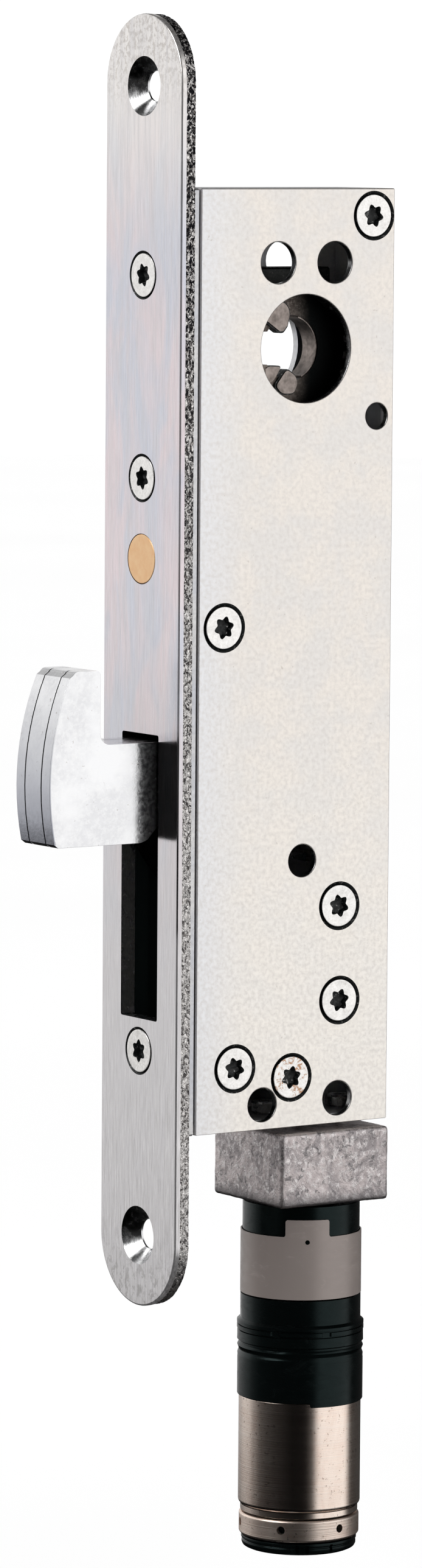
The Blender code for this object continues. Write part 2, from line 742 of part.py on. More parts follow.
def make_slide(axis):
    """The rack that turns the hook, with the nut's holder below it."""
    pitch_x = PIVOT[0] + MODULE * HOOK_TEETH / 2
    teeth = rack_teeth(pitch_x, PIVOT[1], -5, 1, TIP, RACK_ROOT)
    back = pitch_x + RACK_ROOT
    outline = [(SLIDE_BACK, SLIDE_TOP), (SLIDE_BACK, SLIDE_BOTTOM), (39.9, SLIDE_BOTTOM)]
    outline += [(39.9, -37.5), (back, -37.5)] + teeth + [(back, SLIDE_TOP)]
    slide = extruded("drive_slide", [outline], (0.0, 0.0), -SLIDE_HALF, SLIDE_HALF, "Y")
    join(slide, box("nut_holder", (33.6, -3.9, -57.0), (SLIDE_BACK - 0.02, 3.9, -50.5)))
    cut(slide, rod("nut_bore", (SPINDLE_X, 0, -60), (SPINDLE_X, 0, -48), NUT_R + GAP, 32))
    cut(slide, rod("bar_screw_bore", (30, *BAR_SCREW), (50, *BAR_SCREW), BAR_SCREW_R + GAP, 20))
    finish(slide, "machined_steel", axis)


def make_nut(axis):
    inner = SPINDLE_R + RUNNING
    profile = [(inner, -58.0), (inner, -50.4), (NUT_R, -50.4), (NUT_R, -57.3)]
    profile += [(NUT_FLANGE_R, -57.3), (NUT_FLANGE_R, -58.0)]
    nut = turned("spindle_nut", profile, (SPINDLE_X, 0, 0), segments=32)
    flat = box("nut_flat", (SPINDLE_X + 3.0, -6, -60), (SPINDLE_X + 8, 6, -57.25))
    cut(nut, flat)
    finish(nut, "bronze", axis)


def make_bar(axis):
    """The bar that carries the slide's travel up to the follower."""
    pitch_x = CYLINDER[0] + MODULE * FOLLOWER_TEETH / 2
    teeth = rack_teeth(pitch_x, CYLINDER[1], -5, 1, TIP, RACK_ROOT)
    front = pitch_x + RACK_ROOT
    outline = [(BAR_BACK, BAR_TOP), (BAR_BACK, BAR_BOTTOM), (front, BAR_BOTTOM)]
    outline += teeth + [(front, BAR_TOP)]
    bar = extruded("transfer_bar", [outline], (0.0, 0.0), -2.5, 0.7, "Y")
    cut(bar, rod("bar_hole", (40, *BAR_SCREW), (50, *BAR_SCREW), BAR_SCREW_R + GAP, 20))
    finish(bar, "machined_steel", axis)
    screw = rod("bar_screw", (36.5, *BAR_SCREW), (BAR_BACK, *BAR_SCREW), BAR_SCREW_R, 20)
    finish(screw, "screw_steel", axis)


def make_magnet(axis):
    magnet = rod("position_magnet", (41.0, 2.7, -28.0), (41.0, 4.1, -28.0), 1.8, 20)
    finish(magnet, "magnet", axis)


# ---------------------------------------------------------------- spindle


def make_spindle(axis):
    profile = [(0.0, SPINDLE_TOP), (1.5, SPINDLE_TOP), (SPINDLE_R, SPINDLE_TOP - 0.5)]
    profile += [(SPINDLE_R, SPINDLE_END), (0.0, SPINDLE_END)]
    spindle = turned("leadscrew", profile, (SPINDLE_X, 0, 0), segments=24, closed=False)
    finish(spindle, "machined_steel", axis)
    inner = SPINDLE_R + GAP
    low, high = COUPLING_ENDS
    edge = 0.3
    profile = [(inner, low), (inner, high), (COUPLING_R - edge, high), (COUPLING_R, high - edge)]
    profile += [(COUPLING_R, low + edge), (COUPLING_R - edge, low)]
    coupling = turned("shaft_coupling", profile, (SPINDLE_X, 0, 0), segments=28)
    slit = box("clamp_slit", (-CLAMP_SLIT_HALF, -6.0, -90.0), (CLAMP_SLIT_HALF, 0.0, -70.0))
    slit.location.x += SPINDLE_X * MM
    cut(coupling, slit)
    finish(coupling, "machined_steel", axis)


def make_bracket():
    """Holds the spindle's bearing and takes the two screws beside it."""
    bracket = box("spindle_bracket", *BRACKET)
    join(bracket, box("bracket_foot", *BRACKET_FOOT))
    cut(bracket, rod("bearing_seat", (SPINDLE_X, 0, -80), (SPINDLE_X, 0, -70), BEARING_R + GAP, 32))
    for name, (x, z) in BRACKET_SCREWS.items():
        cut(bracket, rod("thread_" + name, (x, -12, z), (x, 0, z), SCREW_R + GAP, 24))
    finish(bracket, "cast_zinc")
    inner = SPINDLE_R + RUNNING
    profile = [(inner, BEARING_BOTTOM), (inner, BEARING_TOP), (BEARING_R, BEARING_TOP)]
    profile.append((BEARING_R, BEARING_BOTTOM))
    finish(turned("spindle_bearing", profile, (SPINDLE_X, 0, 0), segments=24), "bronze")


# ---------------------------------------------------------------- circuit board


def make_board():
    board = box("circuit_board", *BOARD)
    for name, ((x0, z0), (x1, z1), y) in BOARD_PIECES.items():
        join(board, box("board_" + name, (x0, y, z0), (x1, BOARD_SINK, z1)))
    finish(board, "board_green")


# ---------------------------------------------------------------- adapter block


def make_block():
    block = bevel(box("adapter_block", *BLOCK), 0.7)
    cut(block, rod("block_bore", (SPINDLE_X, 0, -105), (SPINDLE_X, 0, -80), BLOCK_BORE_R, 32))
    cut(block, rod("block_recess", (SPINDLE_X, 0, -105), (SPINDLE_X, 0, -94), SPIGOT_R + GAP, 36))
    for i, x in enumerate(BLOCK_SCREWS_X):
        cut(block, rod(f"block_thread_{i}", (x, 0, -93.3), (x, 0, -80), BLOCK_SCREW_R + GAP, 20))
        profile = [(0.0, BLOCK_HEAD_TOP), (BLOCK_HEAD_R - 0.3, BLOCK_HEAD_TOP)]
        profile += [(BLOCK_HEAD_R, BLOCK_HEAD_TOP - 0.3), (BLOCK_HEAD_R, BLOCK_HEAD_BOTTOM)]
        profile += [(BLOCK_SCREW_R, BLOCK_HEAD_BOTTOM), (BLOCK_SCREW_R, BLOCK_SCREW_END)]
        profile.append((0.0, BLOCK_SCREW_END))
        screw = turned(f"block_screw_{i + 1}", profile, (x, 0, 0), segments=16, closed=False)
        cut(screw, rod(f"block_socket_{i}", (x, 0, -82.9), (x, 0, -81), 1.2, 6))
        finish(screw, "screw_steel")
    finish(block, "cast_zinc")


# ---------------------------------------------------------------- gearhead


def make_gearhead_housing():
    profile = [(10.0, -118.0), (10.0, -103.5), (2.6, -103.5), (2.6, -99.5), (3.7, -99.5), (3.7, -94.3)]
    profile += [(SPIGOT_R, -94.3), (SPIGOT_R, -100.7), (HEAD_R, -100.7), (HEAD_R, -118.0)]
    finish(turned("gearhead_housing", profile, (SPINDLE_X, 0, 0), segments=36), "black_plastic")
    inner = SPINDLE_R + RUNNING
    profile = [(inner, -99.2), (inner, -94.6), (3.4, -94.6), (3.4, -99.2)]
    finish(turned("output_bearing", profile, (SPINDLE_X, 0, 0), segments=24), "bronze")


def make_label():
    """A thin sleeve whose upper edge has one raised tab."""
    inner = LABEL_R - 0.2
    profile = [(inner, LABEL_BOTTOM), (inner, LABEL_TOP), (LABEL_R, LABEL_TOP), (LABEL_R, LABEL_BOTTOM)]
    label = turned("gearhead_label", profile, (SPINDLE_X, 0, 0), segments=36)
    tab_start, tab_end = (math.degrees(VIEW_SIDE) + edge for edge in LABEL_TAB)
    pie = [(0.0, 0.0)] + arc(14.0, tab_end, tab_start + 360, 24)
    cut(label, extruded("tab_cut", [pie], (SPINDLE_X, 0.0), LABEL_SHOULDER, -100.0, "Z"))
    finish(label, "label_grey")


def make_ring_gear():
    root = PLANET_MODULE * (RING_TEETH / 2 + PLANET_ROOT + 0.05)
    tip = PLANET_MODULE * (RING_TEETH / 2 - PLANET_TIP)
    space = gear_outline(RING_TEETH, PLANET_MODULE, PLANET_PRESSURE, root, tip, -PLANET_BACKLASH)
    outer, low, high = RING_GEAR
    ring = extruded("ring_gear", [circle(outer, 32), space], (SPINDLE_X, 0.0), low, high, "Z")
    finish(ring, "machined_steel")


def planet_angles():
    return [2 * math.pi * i / 3 for i in range(3)]


def make_carrier(axis):
    """The output shaft, the disc and the three planet pins."""
    profile = [(0.0, -80.8), (SPINDLE_R, -80.8), (SPINDLE_R, -104.0), (7.4, -104.0), (7.4, -105.6)]
    profile.append((0.0, -105.6))
    carrier = turned("planet_carrier", profile, (SPINDLE_X, 0, 0), segments=32, closed=False)
    for i, angle in enumerate(planet_angles()):
        x = SPINDLE_X + PLANET_CENTRES * math.cos(angle)
        y = PLANET_CENTRES * math.sin(angle)
        join(carrier, rod(f"planet_pin_{i}", (x, y, -113.4), (x, y, -105.0), PLANET_PIN_R, 12))
    finish(carrier, "machined_steel", axis)


def make_planets():
    tip = PLANET_MODULE * (PLANET_TEETH / 2 + PLANET_TIP)
    root = PLANET_MODULE * (PLANET_TEETH / 2 - PLANET_ROOT)
    bore = circle(PLANET_PIN_R + RUNNING, 12)
    for i, angle in enumerate(planet_angles()):
        x = SPINDLE_X + PLANET_CENTRES * math.cos(angle)
        y = PLANET_CENTRES * math.sin(angle)
        axis = joint_axis(f"planet_axis_{i + 1}", x, y, -109.5)
        phase = angle + math.pi - math.pi / PLANET_TEETH + angle * SUN_TEETH / PLANET_TEETH
        size = (PLANET_TEETH, PLANET_MODULE, PLANET_PRESSURE, tip, root, PLANET_BACKLASH)
        outline = gear_outline(*size, phase)
        planet = extruded(f"planet_gear_{i + 1}", [outline, bore], (x, y), *PLANET_ENDS, "Z")
        finish(planet, "sintered_steel", axis)


# ---------------------------------------------------------------- motor


def make_collar():
    """The plastic collar between gearhead and motor; one half of its lower edge reaches lower."""
    profile = [(11.3, -137.1), (11.3, -123.3), (3.0, -123.3), (3.0, -118.3), (11.2, -118.3)]
    profile += [(11.2, -123.0), (11.8, -123.3), (11.8, -127.3), (11.4, -127.5), (11.4, -128.0)]
    profile += [(11.7, -128.2), (11.7, -129.0), (11.55, -129.3), (11.7, -129.6), (11.7, -137.1)]
    collar = turned("motor_collar", profile, (SPINDLE_X, 0, 0), segments=36)
    profile = [(11.5, -138.1), (11.5, -136.8), (11.7, -136.8), (11.7, -138.1)]
    skirt = turned("skirt", profile, (SPINDLE_X, 0, 0), segments=36)
    start = math.degrees(VIEW_SIDE) + SKIRT_START
    half = arc(14.0, start + 180, start + 360, 12)
    cut(skirt, extruded("skirt_cut", [half], (SPINDLE_X, 0.0), -140.0, -130.0, "Z"))
    join(collar, skirt)
    finish(collar, "black_plastic")


def make_can():
    profile = [(10.2, -159.2), (10.2, -125.2), (2.9, -125.2), (2.9, -123.7), (11.0, -123.7)]
    profile += [(11.0, -137.4), (CAN_R, -137.4), (CAN_R, -157.5), (CAN_END_R, -157.9)]
    profile.append((CAN_END_R, -159.2))
    finish(turned("motor_can", profile, (SPINDLE_X, 0, 0), segments=36), "motor_steel")


def make_end_ring():
    edge = 0.2
    profile = [(9.9, -163.6), (9.9, -159.5), (END_RING_R - edge, -159.5), (END_RING_R, -159.5 - edge)]
    profile += [(END_RING_R, -163.6 + edge), (END_RING_R - edge, -163.6)]
    ring = turned("end_ring", profile, (SPINDLE_X, 0, 0), segments=36)
    for i in range(VENTS):
        angle = VIEW_SIDE + math.radians(FIRST_VENT + 360 * i / VENTS)
        way = Vector((math.cos(angle), math.sin(angle), 0.0))
        middle = Vector((SPINDLE_X, 0.0, VENT_Z))
        cut(ring, rod(f"vent_{i}", middle + way * 8.0, middle + way * 13.0, VENT_R, 12))
    finish(ring, "motor_steel")


def make_end_cap():
    """The rear cap: a plug in the end ring, with the shaft's rear bearing moulded in it."""
    seat = SHAFT_R + RUNNING
    profile = [(0.0, -163.2), (seat, -163.2), (seat, -159.0), (9.6, -159.0), (9.6, -163.9)]
    profile += [(10.7, -163.9), (10.7, -165.1), (10.5, -165.7), (9.9, -166.1), (0.0, -166.1)]
    cap = turned("end_cap", profile, (SPINDLE_X, 0, 0), segments=36, closed=False)
    for i, side in enumerate((1, -1)):
        x = SPINDLE_X + TERMINAL_X * side
        cut(cap, box(f"terminal_slot_{i}", (x - 0.7, -1.8, -170), (x + 0.7, 1.8, -150)))
        terminal = box(f"terminal_{i + 1}", (x - 0.35, -1.4, -166.0), (x + 0.35, 1.4, -159.2))
        finish(terminal, "brass")
    finish(cap, "black_plastic")


def make_rotor(axis):
    """The rotor: its shaft with the sun pinion cut on its end, and its wound core."""
    tip = PLANET_MODULE * (SUN_TEETH / 2 + PLANET_TIP)
    root = PLANET_MODULE * (SUN_TEETH / 2 - PLANET_ROOT)
    outline = gear_outline(SUN_TEETH, PLANET_MODULE, PLANET_PRESSURE, tip, root, PLANET_BACKLASH)
    shaft = extruded("rotor_shaft", [outline], (SPINDLE_X, 0.0), -113.4, -106.3, "Z")
    join(shaft, rod("shaft_rod", (SPINDLE_X, 0, -162.4), (SPINDLE_X, 0, -110), SHAFT_R, 16))
    finish(shaft, "machined_steel", axis)
    profile = [(1.5, -152.0), (1.5, -127.5), (6.5, -127.5), (6.5, -152.0)]
    core = turned("rotor_core", profile, (SPINDLE_X, 0, 0), segments=30)
    for i in range(ROTOR_SLOTS):
        angle = 2 * math.pi * i / ROTOR_SLOTS
        x = SPINDLE_X + 6.0 * math.cos(angle)
        y = 6.0 * math.sin(angle)
        cut(core, rod(f"winding_slot_{i}", (x, y, -155), (x, y, -125), 1.1, 6))
    finish(core, "copper", axis)


def make_motor_inside():
    profile = [(7.2, -155.0), (7.2, -126.0), (9.9, -126.0), (9.9, -155.0)]
    finish(turned("stator_magnet", profile, (SPINDLE_X, 0, 0), segments=32), "magnet")
    inner = SHAFT_R + RUNNING
    profile = [(inner, -125.1), (inner, -123.8), (2.6, -123.8), (2.6, -125.1)]
    finish(turned("rotor_bearing", profile, (SPINDLE_X, 0, 0), segments=16), "bronze")


# ---------------------------------------------------------------- assembly

HOOK_AXIS = joint_axis("hook_axis", PIVOT[0], 0.0, PIVOT[1])
FOLLOWER_AXIS = joint_axis("follower_axis", CYLINDER[0], 0.0, CYLINDER[1])
SLIDE_AXIS = joint_axis("slide_axis", SPINDLE_X, 0.0, -54.0)
SPINDLE_AXIS = joint_axis("spindle_axis", SPINDLE_X, 0.0, -80.0)
ROTOR_AXIS = joint_axis("rotor_axis", SPINDLE_X, 0.0, -140.0)

make_faceplate()
make_door_sensor()
make_case_body()
make_cover()
make_cover_screws()
make_posts()
make_hook(HOOK_AXIS)
make_pivot()
make_follower(FOLLOWER_AXIS)
make_follower_housing()
make_slide(SLIDE_AXIS)
make_nut(SLIDE_AXIS)
make_bar(SLIDE_AXIS)
make_magnet(SLIDE_AXIS)
make_spindle(SPINDLE_AXIS)
make_bracket()
make_board()
make_block()
make_gearhead_housing()
make_label()
make_ring_gear()
make_carrier(SPINDLE_AXIS)
make_planets()
make_collar()
make_can()
make_end_ring()
make_end_cap()
make_rotor(ROTOR_AXIS)
make_motor_inside()
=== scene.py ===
"""The looks of a motor-driven hook-bolt lock case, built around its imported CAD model.

Everything is in the CAD model's frame: the origin is the centre of the faceplate's front face,
+X runs into the door, +Z is up and the cover side faces -Y. Lengths here are in millimetres
until a helper multiplies them by MM.
"""

import json
import math

import bmesh
import bpy
from mathutils import Matrix, Vector, noise


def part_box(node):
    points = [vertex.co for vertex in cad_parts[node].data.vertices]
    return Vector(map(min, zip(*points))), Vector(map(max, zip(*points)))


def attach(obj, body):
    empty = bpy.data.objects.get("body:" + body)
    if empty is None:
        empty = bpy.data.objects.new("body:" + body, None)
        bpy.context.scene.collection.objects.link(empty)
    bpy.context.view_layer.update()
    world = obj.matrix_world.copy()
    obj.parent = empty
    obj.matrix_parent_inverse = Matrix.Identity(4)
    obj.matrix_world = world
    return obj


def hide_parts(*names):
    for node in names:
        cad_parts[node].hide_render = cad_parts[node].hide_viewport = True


MM = 0.001

# The camera, from the outlines of the faceplate, case and block
CAMERA_AZIMUTH = math.radians(-33.678)
CAMERA_ELEVATION = math.radians(5.73)
CAMERA_ROLL = math.radians(0.393)
CAMERA_PLACE = (-658.42, -1011.34, 99.57)
CAMERA_LENS = 153.3  # on a sensor 36 mm high

# Studio
FLOOR_Z = -420
FLOOR_R = 9000
WORLD_LIGHT = 1.06

# Faceplate
PLATE_LENGTH = 235
PLATE_WIDTH = 25
PLATE_THICK = 3
SHEAR_DEPTH = 1.05  # of the smooth band that the blanking punch leaves, before the torn one
TEAR_DEPTH = 0.22
TEAR_STEPS = 620
SLOT_TOP = -12.3
SLOT_BOTTOM = -64.5
SLOT_HALF = 6.05
SLOT_CORNER = 0.5
SEAT_DEPTH = 0.15  # how far the case is let into the back
MOUNT_HOLE_Z = 104.5
MOUNT_HOLE_R = 2.75
MOUNT_SINK_R = 5.25
SENSOR_HOLE_R = 4.6

# Case
CASE_HALF = 9.25
WALL = 1.5
CYLINDER = (29.5, 57.25)
CYLINDER_R = 9.8
CYLINDER_SCREWS = ((23.3, 72.85), (35.75, 72.85))
CYLINDER_SCREW_R = 3.75
COVER_EDGE = 0.3
SMALL_HOLES = ((45.3, 44.7, 2.38), (29.55, -36.4, 2.95), (21.1, -80.95, 3.08), (37.8, -80.9, 3.15))

# Hook
HOOK_PIVOT = (26, -21)
NOSE_R = 49

# Screws
FACE_SCREWS = ("face_screw_top", "face_screw_mid", "face_screw_low")
HEAD_CONE_FACE = 2.15
SHANK_R = 2
HEAD_GAP = 0.38  # round a cover screw's head, in its seat
FACE_GAP = 0.16  # the same for the faceplate's screws
HEAD_SHY = 0.2  # taken off the head's radius
RECESS_R = 1.7
RECESS_SWELL = 0.24
RECESS_DEPTH = 1.25

# Motor; what lies round it is placed by degrees from the side that faces the camera
MOTOR_X = 36.3
VIEW_SIDE = math.radians(-123.7)
LABEL_SHOULDER = -106.3
LABEL_DEPTH = 0.2
TAB_SIDES = (-15.5, 27)
TAB_CORNER = 0.45
DOT_SIDE = 5.5
DOT_R = 0.42
GAP_SIDES = (24, 156)
GAP_HALF = 4
SKIRT_SIDE = 9
VENTS = 6
VENT_SIDE = -18
VENT_R = 0.78
VENT_Z = -161.3
TERMINAL_OUT = 5.5
NOTCH_SIDES = (-2, 8, 34, 118, 202)

# Block
BLOCK_BOTTOM = -100.4
BLOCK_FRONT = 24.1
BLOCK_ROUGH = 0.1
BLOCK_SWELL = 0.12
BLOCK_MESH = 0.55  # the longest edge after at most so many splits
BLOCK_SPLITS = 6

# Follower
FOLLOWER_FACE = -4.25
BORE_PAD = (5.72, 6.15)
SEAM = 1.13  # how much wider a dog's seam is than the dog

# The room that the metal mirrors: its light round the object, by degrees from the camera's side,
# and upwards, by degrees above the horizon
ROOM_ROUND = (
    (-180, 0.85), (-150, 0.75), (-130, 1.05), (-112, 1), (-97, 0.45), (-78, 0.12), (-62, 0.06),
    (-48, 0.035), (-32, 0.02), (-14, 0.003), (14, 0.003), (25, 0.06), (40, 1.1), (94, 1.1), (112, 0.05),
    (165, 0.05), (180, 0.5),
)
ROOM_UP = ((-90, 1), (28, 1), (43, 0.08), (90, 0.03))
ROOM_FLOOR = ((0, 0.02), (600, 0.05), (1150, 0.9), (1500, 1))  # by the distance from the middle
# How much of that light is left on the left side, by degrees above the horizon
ROOM_LEFT_FOOT = ((-90, 0.03), (-22, 0.06), (-18, 0.3), (-14.5, 0.9), (-11, 1), (90, 1))
KICKER = (-60, 35, 30, 4)  # a small panel: degrees round, degrees up, its reach, its light
ROOM_R = 1500
ROOM_STEPS = 180
ROOM_FLOOR_ROWS = (20, 250, 450, 700, 1000, 1250)
ROOM_RISE = [math.radians(a) for a in (-15, -7, 0, 7, 13, 19, 25, 31, 37, 43, 49, 55, 65, 78, 89)]

# How far the edges are rounded on the pieces that keep their CAD shape
EDGE_OF = {
    "hook_core": 0.18,
    "hook_cheek_near": 0.3,
    "hook_cheek_far": 0.3,
    "case_body": 0.25,
    "follower": 0.1,
    "pivot_pin": 0.12,
    "post_top": 0.12,
    "post_front": 0.12,
    "post_low_front": 0.12,
    "post_low_mid": 0.12,
}

MARKS = 4  # places for looks on each mesh, so that a cut's faces can be told from the rest
SHARP = math.radians(38)  # edges sharper than this stay so

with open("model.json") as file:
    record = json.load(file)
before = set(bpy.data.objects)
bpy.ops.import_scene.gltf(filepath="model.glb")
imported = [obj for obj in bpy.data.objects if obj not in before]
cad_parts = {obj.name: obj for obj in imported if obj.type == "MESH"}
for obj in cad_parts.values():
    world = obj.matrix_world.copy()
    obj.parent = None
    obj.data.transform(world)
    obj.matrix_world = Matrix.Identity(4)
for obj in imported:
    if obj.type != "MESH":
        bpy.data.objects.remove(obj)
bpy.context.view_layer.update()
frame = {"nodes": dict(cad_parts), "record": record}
NODES = frame["nodes"]
SLOT_OF = {part["node"]: part["material_slot"] for part in frame["record"]["subparts"]}
# The follower's housing gets a near-black look: painted shade inside the case.
LOOK_OF = SLOT_OF | {"case_body": "case_zinc", "follower_housing": "cast_painted_shade"}
BODY_OF = {node: body for body, nodes in frame["record"]["behaviour"]["bodies"].items() for node in nodes}
COVER_SCREWS = sorted(node for node in NODES if node.startswith("cover_screw"))


# ---------------------------------------------------------------- node materials


class Look:
    """A Principled material and short calls that add texture nodes to it."""

    def __init__(self, name, colour, roughness, metallic=0):
        self.material = bpy.data.materials.new(name)
        self.material.use_nodes = True
        self.tree = self.material.node_tree
        self.shader = self.tree.nodes["Principled BSDF"]
        self.put(colour, self.shader.inputs["Base Color"])
        self.put(roughness, self.shader.inputs["Roughness"])
        self.put(metallic, self.shader.inputs["Metallic"])
        self.place = self.add("ShaderNodeTexCoord", {}).outputs["Object"]
        self.height = None

    def put(self, value, socket):
        """Gives a socket another node's output, a colour or a number."""
        if isinstance(value, bpy.types.NodeSocket):
            self.tree.links.new(value, socket)
        elif socket.type == "RGBA":
            socket.default_value = (*value, 1)
        else:
            socket.default_value = value

    def add(self, kind, values):
        """A new node, with values for its sockets by name."""
        node = self.tree.nodes.new(kind)
        for name, value in values.items():
            self.put(value, node.inputs[name])
        return node

    def noise(self, per_mm, detail=3, rough=0.55, twist=0):
        """Noise with so many features per millimetre: one number, or one for each axis."""
        each = per_mm if isinstance(per_mm, tuple) else (per_mm,) * 3
        place = self.add("ShaderNodeMapping", {"Vector": self.place, "Scale": [value / MM for value in each]})
        values = {"Scale": 1, "Detail": detail, "Roughness": rough, "Distortion": twist}
        node = self.add("ShaderNodeTexNoise", {"Vector": place.outputs["Vector"], **values})
        return node.outputs["Fac"]

    def axis(self, name):
        return self.add("ShaderNodeSeparateXYZ", {"Vector": self.place}).outputs[name]

    def ramp(self, factor, low, high, start=0, end=1):
        """A number eased from start to end while factor goes from low to high."""
        ends = {"From Min": low, "From Max": high, "To Min": start, "To Max": end}
        node = self.add("ShaderNodeMapRange", {"Value": factor, **ends})
        node.interpolation_type = "SMOOTHSTEP"
        return node.outputs["Result"]

    def slope(self, name, low, high, start=0, end=1):
        """A ramp between two places along an axis, in millimetres."""
        return self.ramp(self.axis(name), low * MM, high * MM, start, end)

    def maths(self, operation, first, second):
        node = self.tree.nodes.new("ShaderNodeMath")
        node.operation = operation
        for socket, value in zip(node.inputs, (first, second)):
            self.put(value, socket)
        return node.outputs["Value"]

    def both(self, first, second):
        return self.maths("MULTIPLY", first, second)

    def within(self, name, low, high, edge=1):
        """One between two places along an axis, in millimetres, and nought beyond them."""
        return self.both(self.slope(name, low - edge, low), self.slope(name, high, high + edge, 1, 0))

    def away(self, x, z):
        """The distance from a line along Y, in metres."""
        across = self.maths("SUBTRACT", self.axis("X"), x * MM)
        up = self.maths("SUBTRACT", self.axis("Z"), z * MM)
        squares = self.maths("ADD", self.both(across, across), self.both(up, up))
        return self.maths("SQRT", squares, 0)

    def mix(self, factor, first, second):
        """A colour between two, each a colour or another node's output."""
        node = self.tree.nodes.new("ShaderNodeMix")
        node.data_type = "RGBA"
        self.put(factor, node.inputs["Factor"])
        colours = [socket for socket in node.inputs if socket.type == "RGBA"]
        for socket, value in zip(colours, (first, second)):
            self.put(value, socket)
        return [socket for socket in node.outputs if socket.type == "RGBA"][0]

    def over(self, base, colour, source, low, high, most=1):
        """The base with a colour over it, by up to most, while source goes from low to high."""
        return self.mix(self.ramp(source, low, high, 0, most), base, colour)

    def colour(self, source):
        self.put(source, self.shader.inputs["Base Color"])

    def metallic(self, source):
        self.put(source, self.shader.inputs["Metallic"])

    def roughness(self, *ramp):
        self.put(self.ramp(*ramp), self.shader.inputs["Roughness"])

    def bump(self, source, depth_mm, strength=1):
        """Relief, on top of the relief that is there."""
        values = {"Height": source, "Distance": depth_mm * MM, "Strength": strength}
        if self.height is not None:
            values["Normal"] = self.height
        self.height = self.add("ShaderNodeBump", values).outputs["Normal"]
        self.put(self.height, self.shader.inputs["Normal"])


def faceplate_look():
    """Steel brushed along its length, with a thin passivation tint in soft clouds."""
    look = Look("faceplate_brushed", (0.72, 0.7, 0.73), 0.2, 1)
    fine = look.noise((3, 7, 0.16), 4, 0.75)
    broad = look.noise((0.5, 0.9, 0.05), 4, 0.65, 0.5)
    clouds = look.noise((0.1, 0.12, 0.035), 3, 0.55, 0.8)
    tint = look.over((0.535, 0.555, 0.64), (0.7, 0.585, 0.61), clouds, 0.38, 0.62)
    tint = look.mix(look.slope("Z", -70, 20), (0.52, 0.505, 0.505), tint)
    tint = look.mix(look.slope("Z", 70, 112), tint, (0.84, 0.81, 0.77))
    grit = look.noise((1.1, 1.1, 0.9), 3, 0.7)
    worn = look.both(look.ramp(grit, 0.45, 0.6), look.slope("Z", 96, 113))
    tint = look.mix(worn, tint, (0.5, 0.46, 0.41))
    dull = look.over(tint, (0.5, 0.485, 0.5), broad, 0.3, 0.75, 0.6)
    body = look.over(dull, (0.8, 0.78, 0.8), fine, 0.3, 0.75, 0.5)
    foot = look.slope("Z", -112, -45, 1, 0.25)
    strokes = look.noise((2, 3.4, 0.13), 3, 0.75, 0.25)
    scored = look.both(look.ramp(strokes, 0.5, 0.66, 0, 0.5), foot)
    polished = look.both(look.ramp(strokes, 0.46, 0.34, 0, 0.5), foot)
    body = look.mix(polished, look.mix(scored, body, (0.3, 0.29, 0.28)), (0.86, 0.84, 0.84))
    scuffs = look.noise((0.7, 0.7, 0.5), 4, 0.75, 0.4)
    heel = look.slope("Z", -117, -100, 0.65, 0)
    look.colour(look.mix(look.both(look.ramp(scuffs, 0.48, 0.62), heel), body, (0.27, 0.26, 0.25)))
    # Painted shade beside the slot at the hook's height: the plate turns fully metallic there, loses its
    # diffuse light and goes dark.
    painted_slot_shade = look.both(look.within("Y", -14, -SLOT_HALF), look.within("Z", -46, -14, 4))
    look.metallic(look.ramp(painted_slot_shade, 0, 1, 0.82, 1))
    look.roughness(fine, 0.2, 0.8, 0.1, 0.22)
    look.bump(fine, 0.006)
    look.bump(broad, 0.015, 0.5)
    return look.material


def torn_edge_look():
    """The rough band of a blanked edge: torn grains with painted highlights and painted shade, the shade
    darker towards the top.
    """
    look = Look("faceplate_torn_edge", (0.6, 0.58, 0.57), 0.4, 1)
    flecks = look.noise((1.7, 1.7, 1.1), 3, 0.75, 0.7)
    grains = look.noise((3.2, 3.2, 2.4), 2, 0.6, 0.5)
    level = look.maths("ADD", flecks, look.slope("Z", -60, 90, 0.03, -0.05))
    # Painted shade between the grains, darker towards the top; the pale flecks laid over it are painted
    # highlights.
    painted_grain_shade = look.mix(look.slope("Z", -70, 80), (0.14, 0.13, 0.13), (0.012, 0.012, 0.015))
    shade = look.over(painted_grain_shade, (0.92, 0.89, 0.87), level, 0.45, 0.52)
    look.colour(look.over(shade, (0.34, 0.3, 0.28), grains, 0.56, 0.66, 0.75))
    look.roughness(flecks, 0.3, 0.7, 0.5, 0.24)
    look.bump(flecks, 0.3)
    look.bump(grains, 0.08)
    return look.material


def cover_look():
    """Bright zinc plate, satin, with a faint warm mottle and a few specks."""
    look = Look("cover_zinc_plate", (0.93, 0.89, 0.85), 0.34, 0.88)
    mottle = look.noise(0.11, 4, 0.6)
    frost = look.noise(1.3, 3, 0.65)
    specks = look.noise(0.8, 2, 0.8)
    warm = look.over((0.785, 0.755, 0.725), (0.84, 0.785, 0.725), mottle, 0.38, 0.62)
    warm = look.mix(look.slope("Z", -85, 10, 0.75, 0), warm, (0.9, 0.86, 0.8))
    body = look.mix(look.slope("X", 6, 18), (0.79, 0.79, 0.805), warm)
    body = look.over(body, (0.735, 0.7, 0.665), frost, 0.35, 0.7, 0.5)
    look.colour(look.over(body, (0.5, 0.45, 0.4), specks, 0.7, 0.78, 0.45))
    look.roughness(frost, 0.25, 0.75, 0.28, 0.42)
    look.bump(frost, 0.01)
    look.bump(mottle, 0.04, 0.4)
    return look.material


